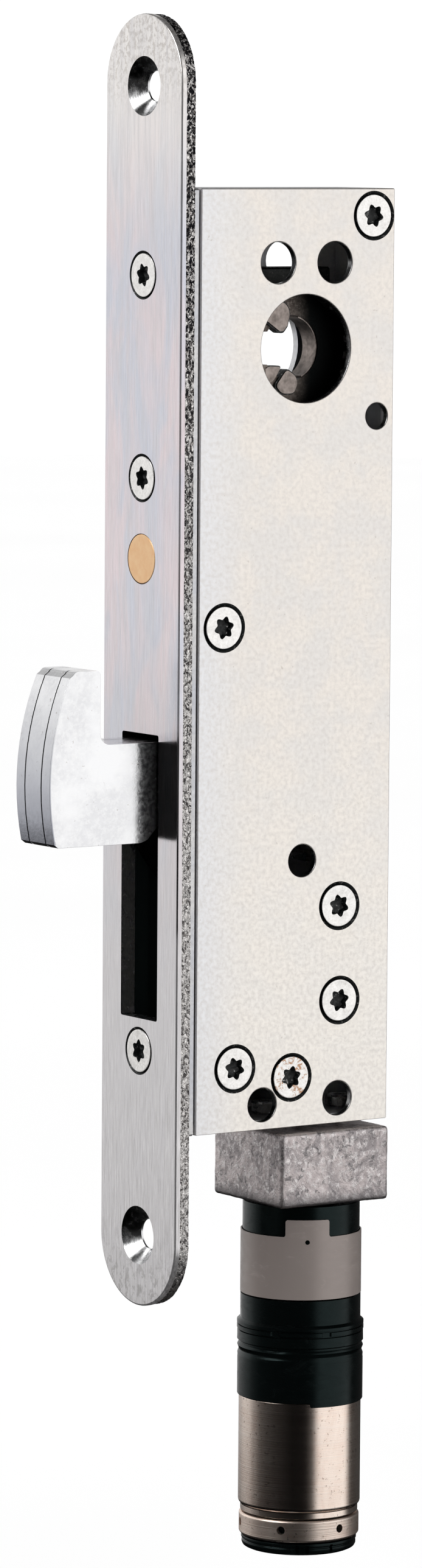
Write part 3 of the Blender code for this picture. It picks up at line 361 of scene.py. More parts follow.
def case_look():
    """The folded case behind the cover: the same plating, greyer and a little blue."""
    look = Look("case_zinc_plate", (0.62, 0.63, 0.67), 0.4, 0.88)
    mottle = look.noise((0.13, 0.13, 0.1), 4, 0.6)
    frost = look.noise(1.4, 3, 0.6)
    blue = look.over((0.6, 0.61, 0.65), (0.72, 0.71, 0.7), mottle, 0.35, 0.65)
    blue = look.over(blue, (0.55, 0.55, 0.57), frost, 0.3, 0.75, 0.4)
    # Painted shade inside the case, seen through the slot and holes: the inner walls go near-black.
    inside = look.both(look.within("Y", -8, 8, 0.4), look.within("X", 0, 30, 4))
    painted_shade = look.both(inside, look.within("Z", -80, 8, 4))
    look.colour(look.mix(painted_shade, blue, (0.022, 0.035, 0.035)))
    look.roughness(frost, 0.25, 0.75, 0.34, 0.48)
    look.bump(frost, 0.012)
    return look.material


def hook_look():
    """Plated steel plies, finely pitted."""
    look = Look("hook_plated_steel", (0.9, 0.9, 0.91), 0.22, 1)
    frost = look.noise(1.2, 3, 0.7)
    pits = look.noise(0.9, 3, 0.7)
    wear = look.noise(0.12, 3, 0.6)
    base = look.over((0.87, 0.87, 0.88), (0.73, 0.73, 0.745), wear, 0.35, 0.65)
    base = look.over(base, (0.92, 0.92, 0.92), frost, 0.38, 0.7, 0.6)
    base = look.over(base, (0.5, 0.47, 0.45), pits, 0.64, 0.72, 0.7)
    # Painted shade on the nose's front face, darker towards its lower end.
    front = look.ramp(look.away(*HOOK_PIVOT), (NOSE_R - 0.35) * MM, (NOSE_R - 0.2) * MM)
    painted_nose_shade = look.both(front, look.slope("Z", -31, 2, 0.85, 0))
    base = look.mix(painted_nose_shade, base, (0.27, 0.28, 0.33))
    # Painted shade where the arm goes into the slot and the case, with a noisy edge.
    shade_reach = look.maths("ADD", look.axis("X"), look.maths("MULTIPLY", frost, 4 * MM))
    painted_shade = look.ramp(shade_reach, 1.2 * MM, 4.2 * MM)
    look.colour(look.mix(painted_shade, base, (0.016, 0.018, 0.018)))
    look.roughness(frost, 0.3, 0.7, 0.13, 0.24)
    look.bump(frost, 0.01)
    look.bump(pits, 0.03, 0.5)
    return look.material


def screw_look(name, rust):
    """Plated screw steel; rust is how much brown shows in the pits."""
    look = Look(name, (0.92, 0.9, 0.87), 0.28, 1)
    stain = look.noise(0.9, 4, 0.7, 0.6)
    frost = look.noise(2.6, 2, 0.6)
    plate = look.over((0.96, 0.94, 0.92), (0.85, 0.83, 0.8), frost, 0.3, 0.7)
    low = 0.66 - 0.14 * rust
    brown = look.ramp(stain, low, low + 0.1, 0, 0.35 + 0.6 * rust)
    look.colour(look.mix(brown, plate, (0.42, 0.22, 0.11)))
    look.metallic(look.ramp(stain, low, low + 0.1, 1, 1 - 0.8 * rust))
    look.roughness(stain, 0.3, 0.75, 0.24, 0.45)
    look.bump(frost, 0.01)
    return look.material


def recess_shade_look():
    """The sides of a screw's recess and of the gap round its head: painted shade, near-black, with a few
    metallic spots that catch the light.
    """
    look = Look("painted_recess_shade", (0.01, 0.011, 0.011), 0.4)
    speckle = look.noise(1.6, 3, 0.7)
    shine = look.ramp(speckle, 0.6, 0.7)
    look.colour(look.mix(shine, (0.006, 0.008, 0.008), (0.42, 0.41, 0.4)))
    look.metallic(shine)
    look.roughness(speckle, 0.3, 0.7, 0.6, 0.3)
    look.bump(speckle, 0.05)
    return look.material


def machined_look():
    look = Look("machined_steel", (0.55, 0.55, 0.55), 0.34, 1)
    marks = look.noise((0.8, 0.8, 6), 2, 0.5)
    # Dark patches of oil stains.
    dark_film = look.noise(0.3, 3, 0.6)
    steel = look.over((0.5, 0.5, 0.5), (0.64, 0.64, 0.63), marks, 0.3, 0.7)
    look.colour(look.over(steel, (0.32, 0.3, 0.27), dark_film, 0.5, 0.8, 0.5))
    look.roughness(dark_film, 0.3, 0.7, 0.24, 0.42)
    look.bump(marks, 0.01)
    return look.material


def sintered_look():
    """Steam-treated sintered steel: grainy, bronze-grey."""
    look = Look("sintered_steel", (0.2, 0.17, 0.15), 0.5, 1)
    grain = look.noise(2.5, 4, 0.7)
    patch = look.noise(0.35, 3, 0.6)
    brown = look.over((0.1, 0.082, 0.072), (0.19, 0.16, 0.14), patch, 0.35, 0.65)
    brown = look.over(brown, (0.3, 0.265, 0.24), grain, 0.45, 0.75, 0.7)
    # Painted shade: the follower goes near-black beyond the cylinder's axis, where the hole's side lies in
    # shade.
    painted_shade = look.slope("X", CYLINDER[0] - 1.5, CYLINDER[0] + 4.5)
    look.colour(look.mix(painted_shade, brown, (0.006, 0.007, 0.007)))
    look.roughness(grain, 0.3, 0.7, 0.58, 0.4)
    look.bump(grain, 0.03)
    return look.material


def cast_look():
    """Zinc casting as it leaves the mould: crystalline mottle and shallow pits."""
    look = Look("cast_zinc_rough", (0.6, 0.54, 0.53), 0.5, 1)
    flow = look.noise((0.2, 0.2, 0.15), 5, 0.7, 0.8)
    grain = look.noise((0.9, 0.9, 0.75), 5, 0.85, 0.3)
    dark = look.noise((0.55, 0.55, 0.5), 4, 0.8, 0.6)
    grey = look.over((0.56, 0.51, 0.515), (0.86, 0.775, 0.765), flow, 0.4, 0.6)
    grey = look.over(grey, (1, 0.95, 0.94), grain, 0.51, 0.59, 0.85)
    foot = look.slope("Z", -99.6, -97.4, 0.75, 0)
    shade = look.maths("MAXIMUM", look.ramp(dark, 0.54, 0.64, 0, 0.8), foot)
    grey = look.mix(shade, grey, (0.25, 0.235, 0.24))
    # Painted shade: the face at low X, the left one in view, a little darker.
    front = look.slope("X", BLOCK_FRONT, BLOCK_FRONT + 0.5, 0.04, 0)
    look.colour(look.mix(front, grey, (0.2, 0.185, 0.19)))
    look.roughness(grain, 0.3, 0.7, 0.58, 0.34)
    look.bump(grain, 0.16)
    look.bump(flow, 0.35, 0.7)
    return look.material


def shaded_cast_look():
    """A casting inside the case: near-black painted shade."""
    look = Look("cast_zinc_painted_shade", (0.02, 0.022, 0.022), 0.4, 0.6)
    film = look.noise(0.5, 4, 0.7)
    grain = look.noise(1.8, 3, 0.7)
    dark_film = look.over((0.008, 0.01, 0.01), (0.05, 0.05, 0.048), film, 0.4, 0.7)
    look.colour(look.over(dark_film, (0.22, 0.21, 0.2), grain, 0.6, 0.7, 0.6))
    look.roughness(film, 0.3, 0.7, 0.25, 0.5)
    look.bump(grain, 0.05)
    return look.material


def warm_metal_look(name, low, high, roughness):
    """Brass, bronze or copper, with a soft tarnish."""
    look = Look(name, high, roughness, 1)
    tarnish = look.noise(0.5, 4, 0.65)
    grain = look.noise(4, 2, 0.5)
    look.colour(look.over(low, high, tarnish, 0.3, 0.7))
    look.roughness(grain, 0.3, 0.7, roughness - 0.06, roughness + 0.08)
    look.bump(grain, 0.006)
    return look.material


def plastic_look(name, colour, roughness, texture_mm=0.008, gloss=0.5, metal=0, tint=(1, 1, 1)):
    """Moulded plastic: a fine spark-eroded skin and a few scuffs."""
    look = Look(name, colour, roughness, metal)
    look.put(gloss, look.shader.inputs["Specular IOR Level"])
    look.put(tint, look.shader.inputs["Specular Tint"])
    texture = look.noise(5, 2, 0.5)
    scuffs = look.noise((0.25, 0.25, 0.6), 4, 0.7, 1)
    pale = tuple(min(1, value * 1.3 + 0.002) for value in colour)
    look.colour(look.over(colour, pale, scuffs, 0.55, 0.8))
    look.roughness(scuffs, 0.3, 0.75, roughness - 0.05, roughness + 0.12)
    look.bump(texture, texture_mm)
    return look.material


def can_look(name, marks_mm, rough):
    """Drawn and ground steel can: fine rings round it and a warm nickel tone."""
    look = Look(name, (0.8, 0.67, 0.58), 0.16, 1)
    rings = look.noise((0.05, 0.05, 7), 2, 0.6)
    stain = look.noise((0.2, 0.2, 0.12), 4, 0.65, 0.8)
    specks = look.noise(1.3, 3, 0.7)
    warm = look.over((0.95, 0.8, 0.7), (0.84, 0.66, 0.56), stain, 0.35, 0.7)
    warm = look.over(warm, (1, 0.9, 0.82), rings, 0.3, 0.75, 0.5)
    look.colour(look.over(warm, (0.34, 0.25, 0.2), specks, 0.6, 0.7, 0.7))
    look.roughness(rings, 0.3, 0.7, rough, rough + 0.05)
    look.bump(rings, marks_mm)
    return look.material


def magnet_look():
    look = Look("ferrite", (0.12, 0.12, 0.13), 0.6)
    grain = look.noise(3, 3, 0.7)
    look.colour(look.mix(grain, (0.09, 0.09, 0.1), (0.17, 0.17, 0.18)))
    look.bump(grain, 0.02)
    return look.material


def bored_look():
    """Freshly cut steel: turned rings, a little brighter than the faces round it."""
    look = Look("bored_steel", (0.7, 0.7, 0.7), 0.22, 1)
    rings = look.noise((5, 1, 1), 2, 0.6)
    smear = look.noise(0.7, 3, 0.6)
    look.colour(look.over((0.62, 0.62, 0.63), (0.8, 0.8, 0.8), rings, 0.3, 0.7))
    look.roughness(smear, 0.3, 0.7, 0.14, 0.3)
    look.bump(rings, 0.012)
    return look.material


LOOKS = {
    "bored_steel": bored_look(),
    "motor_end": can_look("motor_end_steel", 0.03, 0.34),
    "follower_lug": warm_metal_look("follower_lug_worn", (0.17, 0.145, 0.13), (0.42, 0.36, 0.33), 0.42),
    "faceplate_steel": faceplate_look(),
    "torn_edge": torn_edge_look(),
    "cover_zinc": cover_look(),
    "case_zinc": case_look(),
    "hook_steel": hook_look(),
    "screw_steel": screw_look("screw_plated", 0.05),
    "screw_rusty": screw_look("screw_spotted", 1),
    "socket": recess_shade_look(),
    "machined_steel": machined_look(),
    "sintered_steel": sintered_look(),
    "bronze": warm_metal_look("sintered_bronze", (0.42, 0.27, 0.14), (0.66, 0.45, 0.25), 0.38),
    "cast_zinc": cast_look(),
    "cast_painted_shade": shaded_cast_look(),
    "brass": warm_metal_look("satin_brass", (0.95, 0.6, 0.33), (1, 0.69, 0.41), 0.42),
    "black_plastic": plastic_look(
        "black_moulding", (0.001, 0.0018, 0.0018), 0.2, 0.004, 0.2, tint=(0.7, 1, 1)
    ),
    "grey_label": plastic_look("grey_label_foil", (0.235, 0.2, 0.185), 0.34, 0.004, 0.6, 0.3),
    "motor_steel": can_look("motor_can_steel", 0.006, 0.17),
    "magnet": magnet_look(),
    "copper": warm_metal_look("enamelled_copper", (0.48, 0.2, 0.09), (0.72, 0.35, 0.18), 0.32),
    "board": plastic_look("solder_mask", (0.02, 0.13, 0.05), 0.35, 0.01),
}


for node, piece in NODES.items():
    piece.data.materials.clear()
    piece.data.materials.append(LOOKS[LOOK_OF[node]])


# ---------------------------------------------------------------- meshes


def linked(name, data):
    """A new object in the scene."""
    thing = bpy.data.objects.new(name, data)
    bpy.context.scene.collection.objects.link(thing)
    return thing


def placed(name, shape):
    """A bmesh as an object in the scene."""
    mesh = bpy.data.meshes.new(name)
    shape.to_mesh(mesh)
    shape.free()
    return linked(name, mesh)


def mesh_of(thing):
    """The mesh that an object comes to, with its modifiers or as a filled curve."""
    return bpy.data.meshes.new_from_object(thing.evaluated_get(bpy.context.evaluated_depsgraph_get()))


def smooth(mesh):
    mesh.shade_smooth()
    mesh.set_sharp_from_angle(angle=SHARP)


def keep_shape(name, shape):
    """A finished bmesh as an object, smooth but for its real corners."""
    bmesh.ops.recalc_face_normals(shape, faces=shape.faces)
    piece = placed(name, shape)
    for _ in range(MARKS):
        piece.data.materials.append(None)
    smooth(piece.data)
    return piece


def skin(shape, rings, mark=0):
    """Faces from each ring of points to the next, with the material numbered mark."""
    for one, two in zip(rings, rings[1:]):
        for k in range(len(one)):
            after = (k + 1) % len(one)
            face = shape.faces.new((one[k], one[after], two[after], two[k]))
            face.material_index = mark


def eased(loop, radius, steps=3):
    """A closed loop of points with its sharp corners rounded."""
    found = []
    count = len(loop)
    for i, corner in enumerate(loop):
        here = Vector(corner)
        before, after = Vector(loop[i - 1]) - here, Vector(loop[(i + 1) % count]) - here
        sharp = before.length > 0 and after.length > 0 and before.angle(after) < math.radians(150)
        on_axis = abs(here[0]) < 1e-6
        if not sharp or on_axis:
            found.append(corner)
            continue
        reach = min(radius, 0.45 * before.length, 0.45 * after.length)
        start, end = here + before.normalized() * reach, here + after.normalized() * reach
        for k in range(steps + 1):
            t = k / steps
            point = start * (1 - t) ** 2 + here * (2 * t * (1 - t)) + end * t**2
            found.append((point[0], point[1]))
    return found


def turned(name, loop, centre, upward=(0, 0, 1), segments=144):
    """A closed loop of (radius, height) turned about an axis through centre."""
    shape = bmesh.new()
    turn = Vector((0, 0, 1)).rotation_difference(Vector(upward))
    middle = Vector(centre)
    rings = []
    for radius, height in loop:
        count = 1 if radius < 1e-6 else segments
        ring = []
        for k in range(count):
            angle = 2 * math.pi * k / segments
            point = Vector((radius * math.cos(angle), radius * math.sin(angle), height))
            ring.append(shape.verts.new((middle + turn @ point) * MM))
        rings.append(ring)
    for one, two in zip(rings, rings[1:] + rings[:1]):
        if len(one) == 1 and len(two) == 1:
            continue
        for k in range(segments):
            after = (k + 1) % segments
            corners = [one[k % len(one)], one[after % len(one)], two[after % len(two)], two[k % len(two)]]
            shape.faces.new(list(dict.fromkeys(corners)))
    return keep_shape(name, shape)


def bar(name, start, end, radius, segments=96):
    """A plain round cutter."""
    start, end = Vector(start), Vector(end)
    length = (end - start).length
    loop = [(0, 0), (radius, 0), (radius, length), (0, length)]
    return turned(name, loop, start, end - start, segments)


def arc(radius, start, end, steps, centre=(0, 0)):
    """Points along an arc; the angles are in degrees."""
    found = []
    for i in range(steps + 1):
        angle = math.radians(start + (end - start) * i / steps)
        found.append((centre[0] + radius * math.cos(angle), centre[1] + radius * math.sin(angle)))
    return found


FACINGS = {
    "X": lambda a, b, depth: (depth, a, b),
    "Y": lambda a, b, depth: (a, depth, b),
}


def extruded(name, loop, low, high, facing):
    """An outline made into a plate that faces along X or Y, from low to high."""
    data = bpy.data.curves.new(name, "CURVE")
    data.dimensions = "2D"
    data.fill_mode = "BOTH"
    data.extrude = (high - low) / 2 * MM
    spline = data.splines.new("POLY")
    spline.points.add(len(loop) - 1)
    for point, (a, b) in zip(spline.points, loop):
        point.co = (a * MM, b * MM, 0, 1)
    spline.use_cyclic_u = True
    curve = linked(name + "_outline", data)
    mesh = mesh_of(curve)
    bpy.data.objects.remove(curve, do_unlink=True)
    shape = bmesh.new()
    shape.from_mesh(mesh)
    bpy.data.meshes.remove(mesh)
    bmesh.ops.remove_doubles(shape, verts=shape.verts, dist=0.001 * MM)
    for vert in shape.verts:
        a, b, depth = vert.co
        vert.co = FACINGS[facing](a, b, depth + (low + high) / 2 * MM)
    return keep_shape(name, shape)


def box(name, low, high):
    shape = bmesh.new()
    bmesh.ops.create_cube(shape, size=1)
    low, high = Vector(low), Vector(high)
    bmesh.ops.scale(shape, vec=(high - low) * MM, verts=shape.verts)
    bmesh.ops.translate(shape, vec=(low + high) / 2 * MM, verts=shape.verts)
    return keep_shape(name, shape)


def cut(piece, *others, mark=0, overlapping=False):
    """Takes the other pieces away at one go; the faces that they leave get the material numbered mark."""
    shape = bmesh.new()
    for other in others:
        shape.from_mesh(other.data)
    for face in shape.faces:
        face.material_index = mark
    shape.to_mesh(others[0].data)
    shape.free()
    step = piece.modifiers.new("cut", "BOOLEAN")
    step.operation = "DIFFERENCE"
    step.object = others[0]
    step.solver = "EXACT"
    step.use_self = overlapping
    settle(piece)
    for other in others:
        bpy.data.objects.remove(other, do_unlink=True)
    return piece


def settle(piece):
    """Makes the piece's modifiers part of its mesh."""
    bpy.context.view_layer.update()
    mesh = mesh_of(piece)
    piece.modifiers.clear()
    piece.data = mesh
    smooth(mesh)
    return piece


def rounded(piece, width, segments=3, limit=50):
    """Rounds the sharp edges."""
    step = piece.modifiers.new("edges", "BEVEL")
    step.width = width * MM
    step.segments = segments
    step.limit_method = "ANGLE"
    step.angle_limit = math.radians(limit)
    return settle(piece)


def flats(shape):
    """For each face, the area of the flat that it belongs to."""
    region = {}
    areas = []
    for first in shape.faces:
        if first in region:
            continue
        number = len(areas)
        region[first] = number
        area = 0
        queue = [first]
        while queue:
            face = queue.pop()
            area += face.calc_area()
            for edge in face.edges:
                for other in edge.link_faces:
                    if other not in region and other.normal.dot(face.normal) > 0.99999:
                        region[other] = number
                        queue.append(other)
        areas.append(area / MM**2)
    return {face: areas[number] for face, number in region.items()}


def fan(corner):
    """The corners round a vertex that smooth edges connect to one corner."""
    found = {corner}
    queue = [corner]
    while queue:
        here = queue.pop()
        for edge in (here.edge, here.link_loop_prev.edge):
            if not edge.smooth:
                continue
            for face in edge.link_faces:
                for other in face.loops:
                    if other.vert is here.vert and other not in found:
                        found.add(other)
                        queue.append(other)
    return found


def even(piece):
    """Shades each corner mostly by the largest flat beside it, so that flats look flat."""
    shape = bmesh.new()
    shape.from_mesh(piece.data)
    shape.normal_update()
    area = flats(shape)
    normals = {}
    for face in shape.faces:
        for corner in face.loops:
            if corner in normals:
                continue
            group = fan(corner)
            total = Vector((0, 0, 0))
            for other in group:
                total += other.face.normal * (area[other.face] ** 2 + 1e-9) * other.calc_angle()
            for other in group:
                normals[other] = total.normalized() if total.length > 0 else other.face.normal
    ordered = [normals[corner] for face in shape.faces for corner in face.loops]
    piece.data.normals_split_custom_set([tuple(normal) for normal in ordered])
    shape.free()
    return piece


def refined(node, width):
    """A copy of a CAD node with its edges rounded takes its place."""
    shape = bmesh.new()
    shape.from_mesh(NODES[node].data)
    shape.transform(NODES[node].matrix_world)
    bmesh.ops.remove_doubles(shape, verts=shape.verts, dist=0.002 * MM)
    stand_for(rounded(keep_shape(node + "_fine", shape), width, 3, 30), node)


def stand_for(piece, node, *looks):
    """The piece takes a CAD node's place, too."""
    goes_with(even(piece), node, *looks)
    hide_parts(node)


def goes_with(piece, node, *looks):
    """The piece gets a CAD node's body and, unless other looks are named, the look of the node's slot."""
    marks = [face.material_index for face in piece.data.polygons]
    piece.data.materials.clear()
    for look in looks or (LOOK_OF[node],):
        piece.data.materials.append(LOOKS[look])
    most = len(piece.data.materials) - 1
    piece.data.polygons.foreach_set("material_index", [min(mark, most) for mark in marks])
    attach(piece, BODY_OF[node])


def span(node):
    """The lowest and highest corner of a CAD node's box, in millimetres."""
    low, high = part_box(node)
    return low / MM, high / MM


def middle_of(node):
    """The middle of a CAD node's box and the box's size, in millimetres."""
    low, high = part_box(node)
    return (low + high) / 2 / MM, (high - low) / MM


# ---------------------------------------------------------------- faceplate


def strip_outline():
    """The faceplate's outline, with enough points on its sides for a torn edge."""
    radius = PLATE_WIDTH / 2
    reach = PLATE_LENGTH / 2 - radius
    side = [(radius, -reach + 2 * reach * i / TEAR_STEPS) for i in range(TEAR_STEPS)]
    other = [(-y, -z) for y, z in side]
    top = arc(radius, 0, 180, 90, (0, reach))[:-1]
    bottom = arc(radius, 180, 360, 90, (0, -reach))[:-1]
    return side + top + other + bottom


def torn(point, depth):
    """How far the torn band lies below the edge's line, in millimetres."""
    spot = Vector((point[0], point[1], depth))
    rough = abs(noise.noise(spot * 1.3)) + 0.6 * abs(noise.noise(spot * 3.1 + Vector((7, 3, 5))))
    return 0.05 + TEAR_DEPTH * rough


def plate_wall():
    """Rows of (x, how far in, whether torn) from the front face to the back."""
    rows = [(0, 0.35, 0), (0.03, 0.21, 0), (0.1, 0.1, 0), (0.21, 0.03, 0), (0.35, 0, 0)]
    rows += [(SHEAR_DEPTH - 0.15, 0, 0), (SHEAR_DEPTH, 0.03, 0)]
    torn_rows = 8
    for i in range(torn_rows):
        rows.append((SHEAR_DEPTH + 0.1 + (PLATE_THICK - 0.1 - SHEAR_DEPTH) * i / (torn_rows - 1), 0, 1))
    return rows


def make_plate_blank():
    """The faceplate without its holes: a smooth band round its edge and a torn one behind it."""
    outline = strip_outline()
    reach = PLATE_LENGTH / 2 - PLATE_WIDTH / 2
    shape = bmesh.new()
    rings = []
    rows = plate_wall()
    for x, inset, is_torn in rows:
        ring = []
        for y, z in outline:
            heart = Vector((0, max(-reach, min(reach, z))))
            out = (Vector((y, z)) - heart).normalized()
            back = inset + (torn((y, z), x) if is_torn else 0)
            ring.append(shape.verts.new((x * MM, (y - out[0] * back) * MM, (z - out[1] * back) * MM)))
        rings.append(ring)
    for one, two, row in zip(rings, rings[1:], rows[1:]):
        skin(shape, (one, two), row[2])
    shape.faces.new(rings[0])
    shape.faces.new(rings[-1])
    return keep_shape("faceplate_fine", shape)


def sink_cutter(name, point, outward, head_r, cone, depth, gap):
    """The seat of a countersunk screw: its head and shank, each a gap larger."""
    wide = head_r + gap
    shank = SHANK_R + gap
    fall = min(cone, wide - shank)
    loop = [(0, 0.4), (wide + 0.5, 0.4), (wide, -0.1), (wide - fall, -fall - 0.1)]
    loop += [(shank, -fall - 0.1), (shank, -depth), (0, -depth)]
    return turned(name, loop, point, outward, 96)


def make_faceplate():
    plate = make_plate_blank()
    half = SLOT_HALF
    slot = [(-half, SLOT_BOTTOM), (half, SLOT_BOTTOM), (half, SLOT_TOP), (-half, SLOT_TOP)]
    cutters = [extruded("slot_cutter", eased(slot, SLOT_CORNER, 4), -1, 5, "X")]
    for i, z in enumerate((MOUNT_HOLE_Z, -MOUNT_HOLE_Z)):
        slope = MOUNT_SINK_R - MOUNT_HOLE_R
        loop = [(0, 0.3), (MOUNT_SINK_R + 0.42, 0.3), (MOUNT_SINK_R, -0.12)]
        loop += [(MOUNT_HOLE_R, -slope - 0.12), (MOUNT_HOLE_R, -5), (0, -5)]
        cutters.append(turned(f"mount_cutter_{i}", loop, (0, 0, z), (-1, 0, 0), 96))
    seats = []
    for node in FACE_SCREWS:
        centre, extent = middle_of(node)
        point, head = (0, 0, centre[2]), extent[2] / 2
        seats.append(sink_cutter(node + "_seat", point, (-1, 0, 0), head, HEAD_CONE_FACE, 6, FACE_GAP))
    z = middle_of("sensor_window")[0][2]
    cutters.append(bar("sensor_cutter", (-1, 0, z), (5, 0, z), SENSOR_HOLE_R))
    low, high = span("case_body")
    seat_front = PLATE_THICK - SEAT_DEPTH
    cutters.append(box("seat_cutter", (seat_front, -20, low[2] - 1), (5, 20, high[2] + 1)))
    cut(plate, *cutters, mark=2)
    # The seats' walls take the fourth look, the painted recess shade.
    cut(plate, *seats, mark=3)
    stand_for(plate, "faceplate", "faceplate_steel", "torn_edge", "bored_steel", "socket")


# ---------------------------------------------------------------- screws


def star(radius, swell, spin, steps=72):
    """The outline of a six-lobed recess, turned by spin."""
    found = []
    for i in range(steps):
        angle = 2 * math.pi * i / steps
        wave = math.cos(6 * angle)
        size = radius + swell * (wave + 0.18 * wave * abs(wave))
        found.append((size * math.cos(angle + spin), size * math.sin(angle + spin)))
    return found


def recess_cutter(name, point, outward, spin, depth):
    """A tapered star that ends in a shallow cone."""
    shape = bmesh.new()
    turn = Vector((0, 0, 1)).rotation_difference(Vector(outward))
    middle = Vector(point)
    rings = []
    for scale, height in ((1.3, 0.3), (1, -0.12), (0.93, -depth)):
        ring = []
        for a, b in star(RECESS_R, RECESS_SWELL, spin):
            ring.append(shape.verts.new((middle + turn @ Vector((a * scale, b * scale, height))) * MM))
        rings.append(ring)
    skin(shape, rings)
    shape.faces.new(rings[0])
    tip = shape.verts.new((middle + turn @ Vector((0, 0, -depth - 0.45))) * MM)
    last = rings[-1]
    for here, after in zip(last, last[1:] + last[:1]):
        shape.faces.new((here, after, tip))
    return keep_shape(name, shape)


def make_star_screw(node, outward, cone, spin, look):
    centre, extent = middle_of(node)
    way = Vector(outward)
    along = max(range(3), key=lambda i: abs(way[i]))
    length = extent[along]
    point = centre + way * length / 2
    head = max(extent[i] for i in range(3) if i != along) / 2 - HEAD_SHY
    neck = max(head - cone, SHANK_R)
    loop = [(0, -0.04), (head - 0.3, 0), (head - 0.08, -0.03), (head, -0.12), (head, -0.2)]
    loop += [(neck, -cone - 0.05), (SHANK_R, -cone - 0.1), (SHANK_R, -length + 0.3), (SHANK_R - 0.3, -length)]
    loop += [(0, -length)]
    screw = turned(node + "_fine", loop, point, outward, 96)
    # The head's underside and shank take the second look, the painted recess shade, as the recess does.
    for face in screw.data.polygons:
        below = (point - face.center / MM).dot(way)
        face.material_index = 1 if below > 0.1 else 0
    cut(screw, recess_cutter(node + "_star", point, outward, spin, RECESS_DEPTH), mark=1)
    stand_for(screw, node, look, "socket")


def make_screws():
    for i, node in enumerate(FACE_SCREWS):
        make_star_screw(node, (-1, 0, 0), HEAD_CONE_FACE, 0.3 + 0.9 * i, "screw_steel")
    for i, node in enumerate(COVER_SCREWS):
        look = "screw_rusty" if node == "cover_screw_low_mid" else "screw_steel"
        make_star_screw(node, (0, -1, 0), WALL, 0.2 + 0.55 * i, look)


def make_sensor():
    low, high = span("sensor_window")
    radius, depth = (high[2] - low[2]) / 2, high[0] - low[0]
    loop = eased([(0, 0), (radius, 0), (radius, -depth), (0, -depth)], 0.18)
    middle = (0, 0, (high[2] + low[2]) / 2)
    stand_for(turned("sensor_window_fine", loop, middle, (-1, 0, 0), 120), "sensor_window")


# ---------------------------------------------------------------- case


def through(x, z, radius, segments=96):
    """A cutter for a hole in the cover."""
    return bar("cover_hole", (x, -14, z), (x, -5, z), radius, segments)


def make_cover():
    plate = box("cover_fine", *span("cover_plate"))
    cutters = [through(*CYLINDER, CYLINDER_R, 160)]
    cutters += [through(x, z, CYLINDER_SCREW_R) for x, z in CYLINDER_SCREWS]
    cutters += [through(*hole) for hole in SMALL_HOLES]
    cut(plate, *cutters, mark=1)
    rounded(plate, COVER_EDGE, 4)
    seats = []
    for node in COVER_SCREWS:
        centre, extent = middle_of(node)
        point = (centre[0], -CASE_HALF, centre[2])
        seats.append(sink_cutter(node + "_seat", point, (0, -1, 0), extent[0] / 2, WALL, 4, HEAD_GAP))
    # The seats' walls take the third look, the painted recess shade.
    cut(plate, *seats, mark=2)
    stand_for(plate, "cover_plate", "cover_zinc", "bored_steel", "socket")


def refine_cad_nodes():
    for node, width in EDGE_OF.items():
        refined(node, width)


# ---------------------------------------------------------------- motor


def round_motor(radius, angle, z):
    """A place round the motor's axis."""
    return Vector((MOTOR_X + radius * math.cos(angle), radius * math.sin(angle), z))


def motor_piece(node, loop, ease=0.15, steps=3, segments=180):
    """A closed loop of (radius, height), its corners rounded, turned about the motor's axis."""
    return turned(node + "_fine", eased(loop, ease, steps), (MOTOR_X, 0, 0), segments=segments)


def label_edge(outer, top):
    """The label's upper edge unrolled, as (distance round, height), with its raised tab."""
    shoulder, corner = LABEL_SHOULDER, TAB_CORNER
    left, right = ((VIEW_SIDE + math.radians(side)) * outer for side in TAB_SIDES)
    rise = arc(corner, -90, 0, 6, (left - corner, shoulder + corner))
    rise += arc(corner, 180, 90, 6, (left + corner, top - corner))
    fall = arc(corner, 90, 0, 6, (right - corner, top - corner))
    fall += arc(corner, 180, 270, 6, (right + corner, shoulder + corner))
    start, stop = rise[0][0], fall[-1][0]
    across = [(start + (stop - start) * i / 24, top) for i in range(1, 24)]
    across = [point for point in across if left + corner < point[0] < right - corner]
    turn = 2 * math.pi * outer
    rest = [(stop + (turn - stop + start) * i / 150, shoulder) for i in range(1, 150)]
    return rise + across + fall + rest


def make_label():
    """A foil sleeve whose upper edge has one raised tab, and a dark dot on it."""
    low, high = span("gearhead_label")
    outer = (high[0] - low[0]) / 2
    edge = label_edge(outer, high[2])
    shape = bmesh.new()
    rings = []
    for reach in (outer, outer - LABEL_DEPTH):
        bottom = [round_motor(reach, along / outer, low[2]) for along, _ in edge]
        top = [round_motor(reach, along / outer, height) for along, height in edge]
        rings += [[shape.verts.new(point * MM) for point in ring] for ring in (bottom, top)]
    skin(shape, [rings[i] for i in (0, 1, 3, 2, 0)])
    bmesh.ops.remove_doubles(shape, verts=shape.verts, dist=0.002 * MM)
    stand_for(keep_shape("gearhead_label_fine", shape), "gearhead_label")
    angle = VIEW_SIDE + math.radians(DOT_SIDE)
    way = (math.cos(angle), math.sin(angle), 0)
    place = round_motor(outer - 0.12, angle, LABEL_SHOULDER - 0.9)
    dot = turned("label_mark", [(0, 0), (DOT_R, 0), (DOT_R, 0.14), (0, 0.14)], place, way, 32)
    goes_with(dot, "gearhead_label", "black_plastic")


def make_gearhead_housing():
    """The gears' housing, open below, with a neck that reaches into the block."""
    low, high = span("gearhead_housing")
    outer = (high[0] - low[0]) / 2
    bore, hole, bearing, neck = 10, 2.6, 3.7, 6
    ceiling, seat, shoulder = -103.5, -99.5, BLOCK_BOTTOM - 0.3
    loop = [(bore, low[2]), (bore, ceiling), (hole, ceiling), (hole, seat), (bearing, seat)]
    loop += [(bearing, high[2]), (neck, high[2]), (neck, shoulder), (outer, shoulder), (outer, low[2])]
    stand_for(motor_piece("gearhead_housing", loop, 0.25, segments=144), "gearhead_housing")


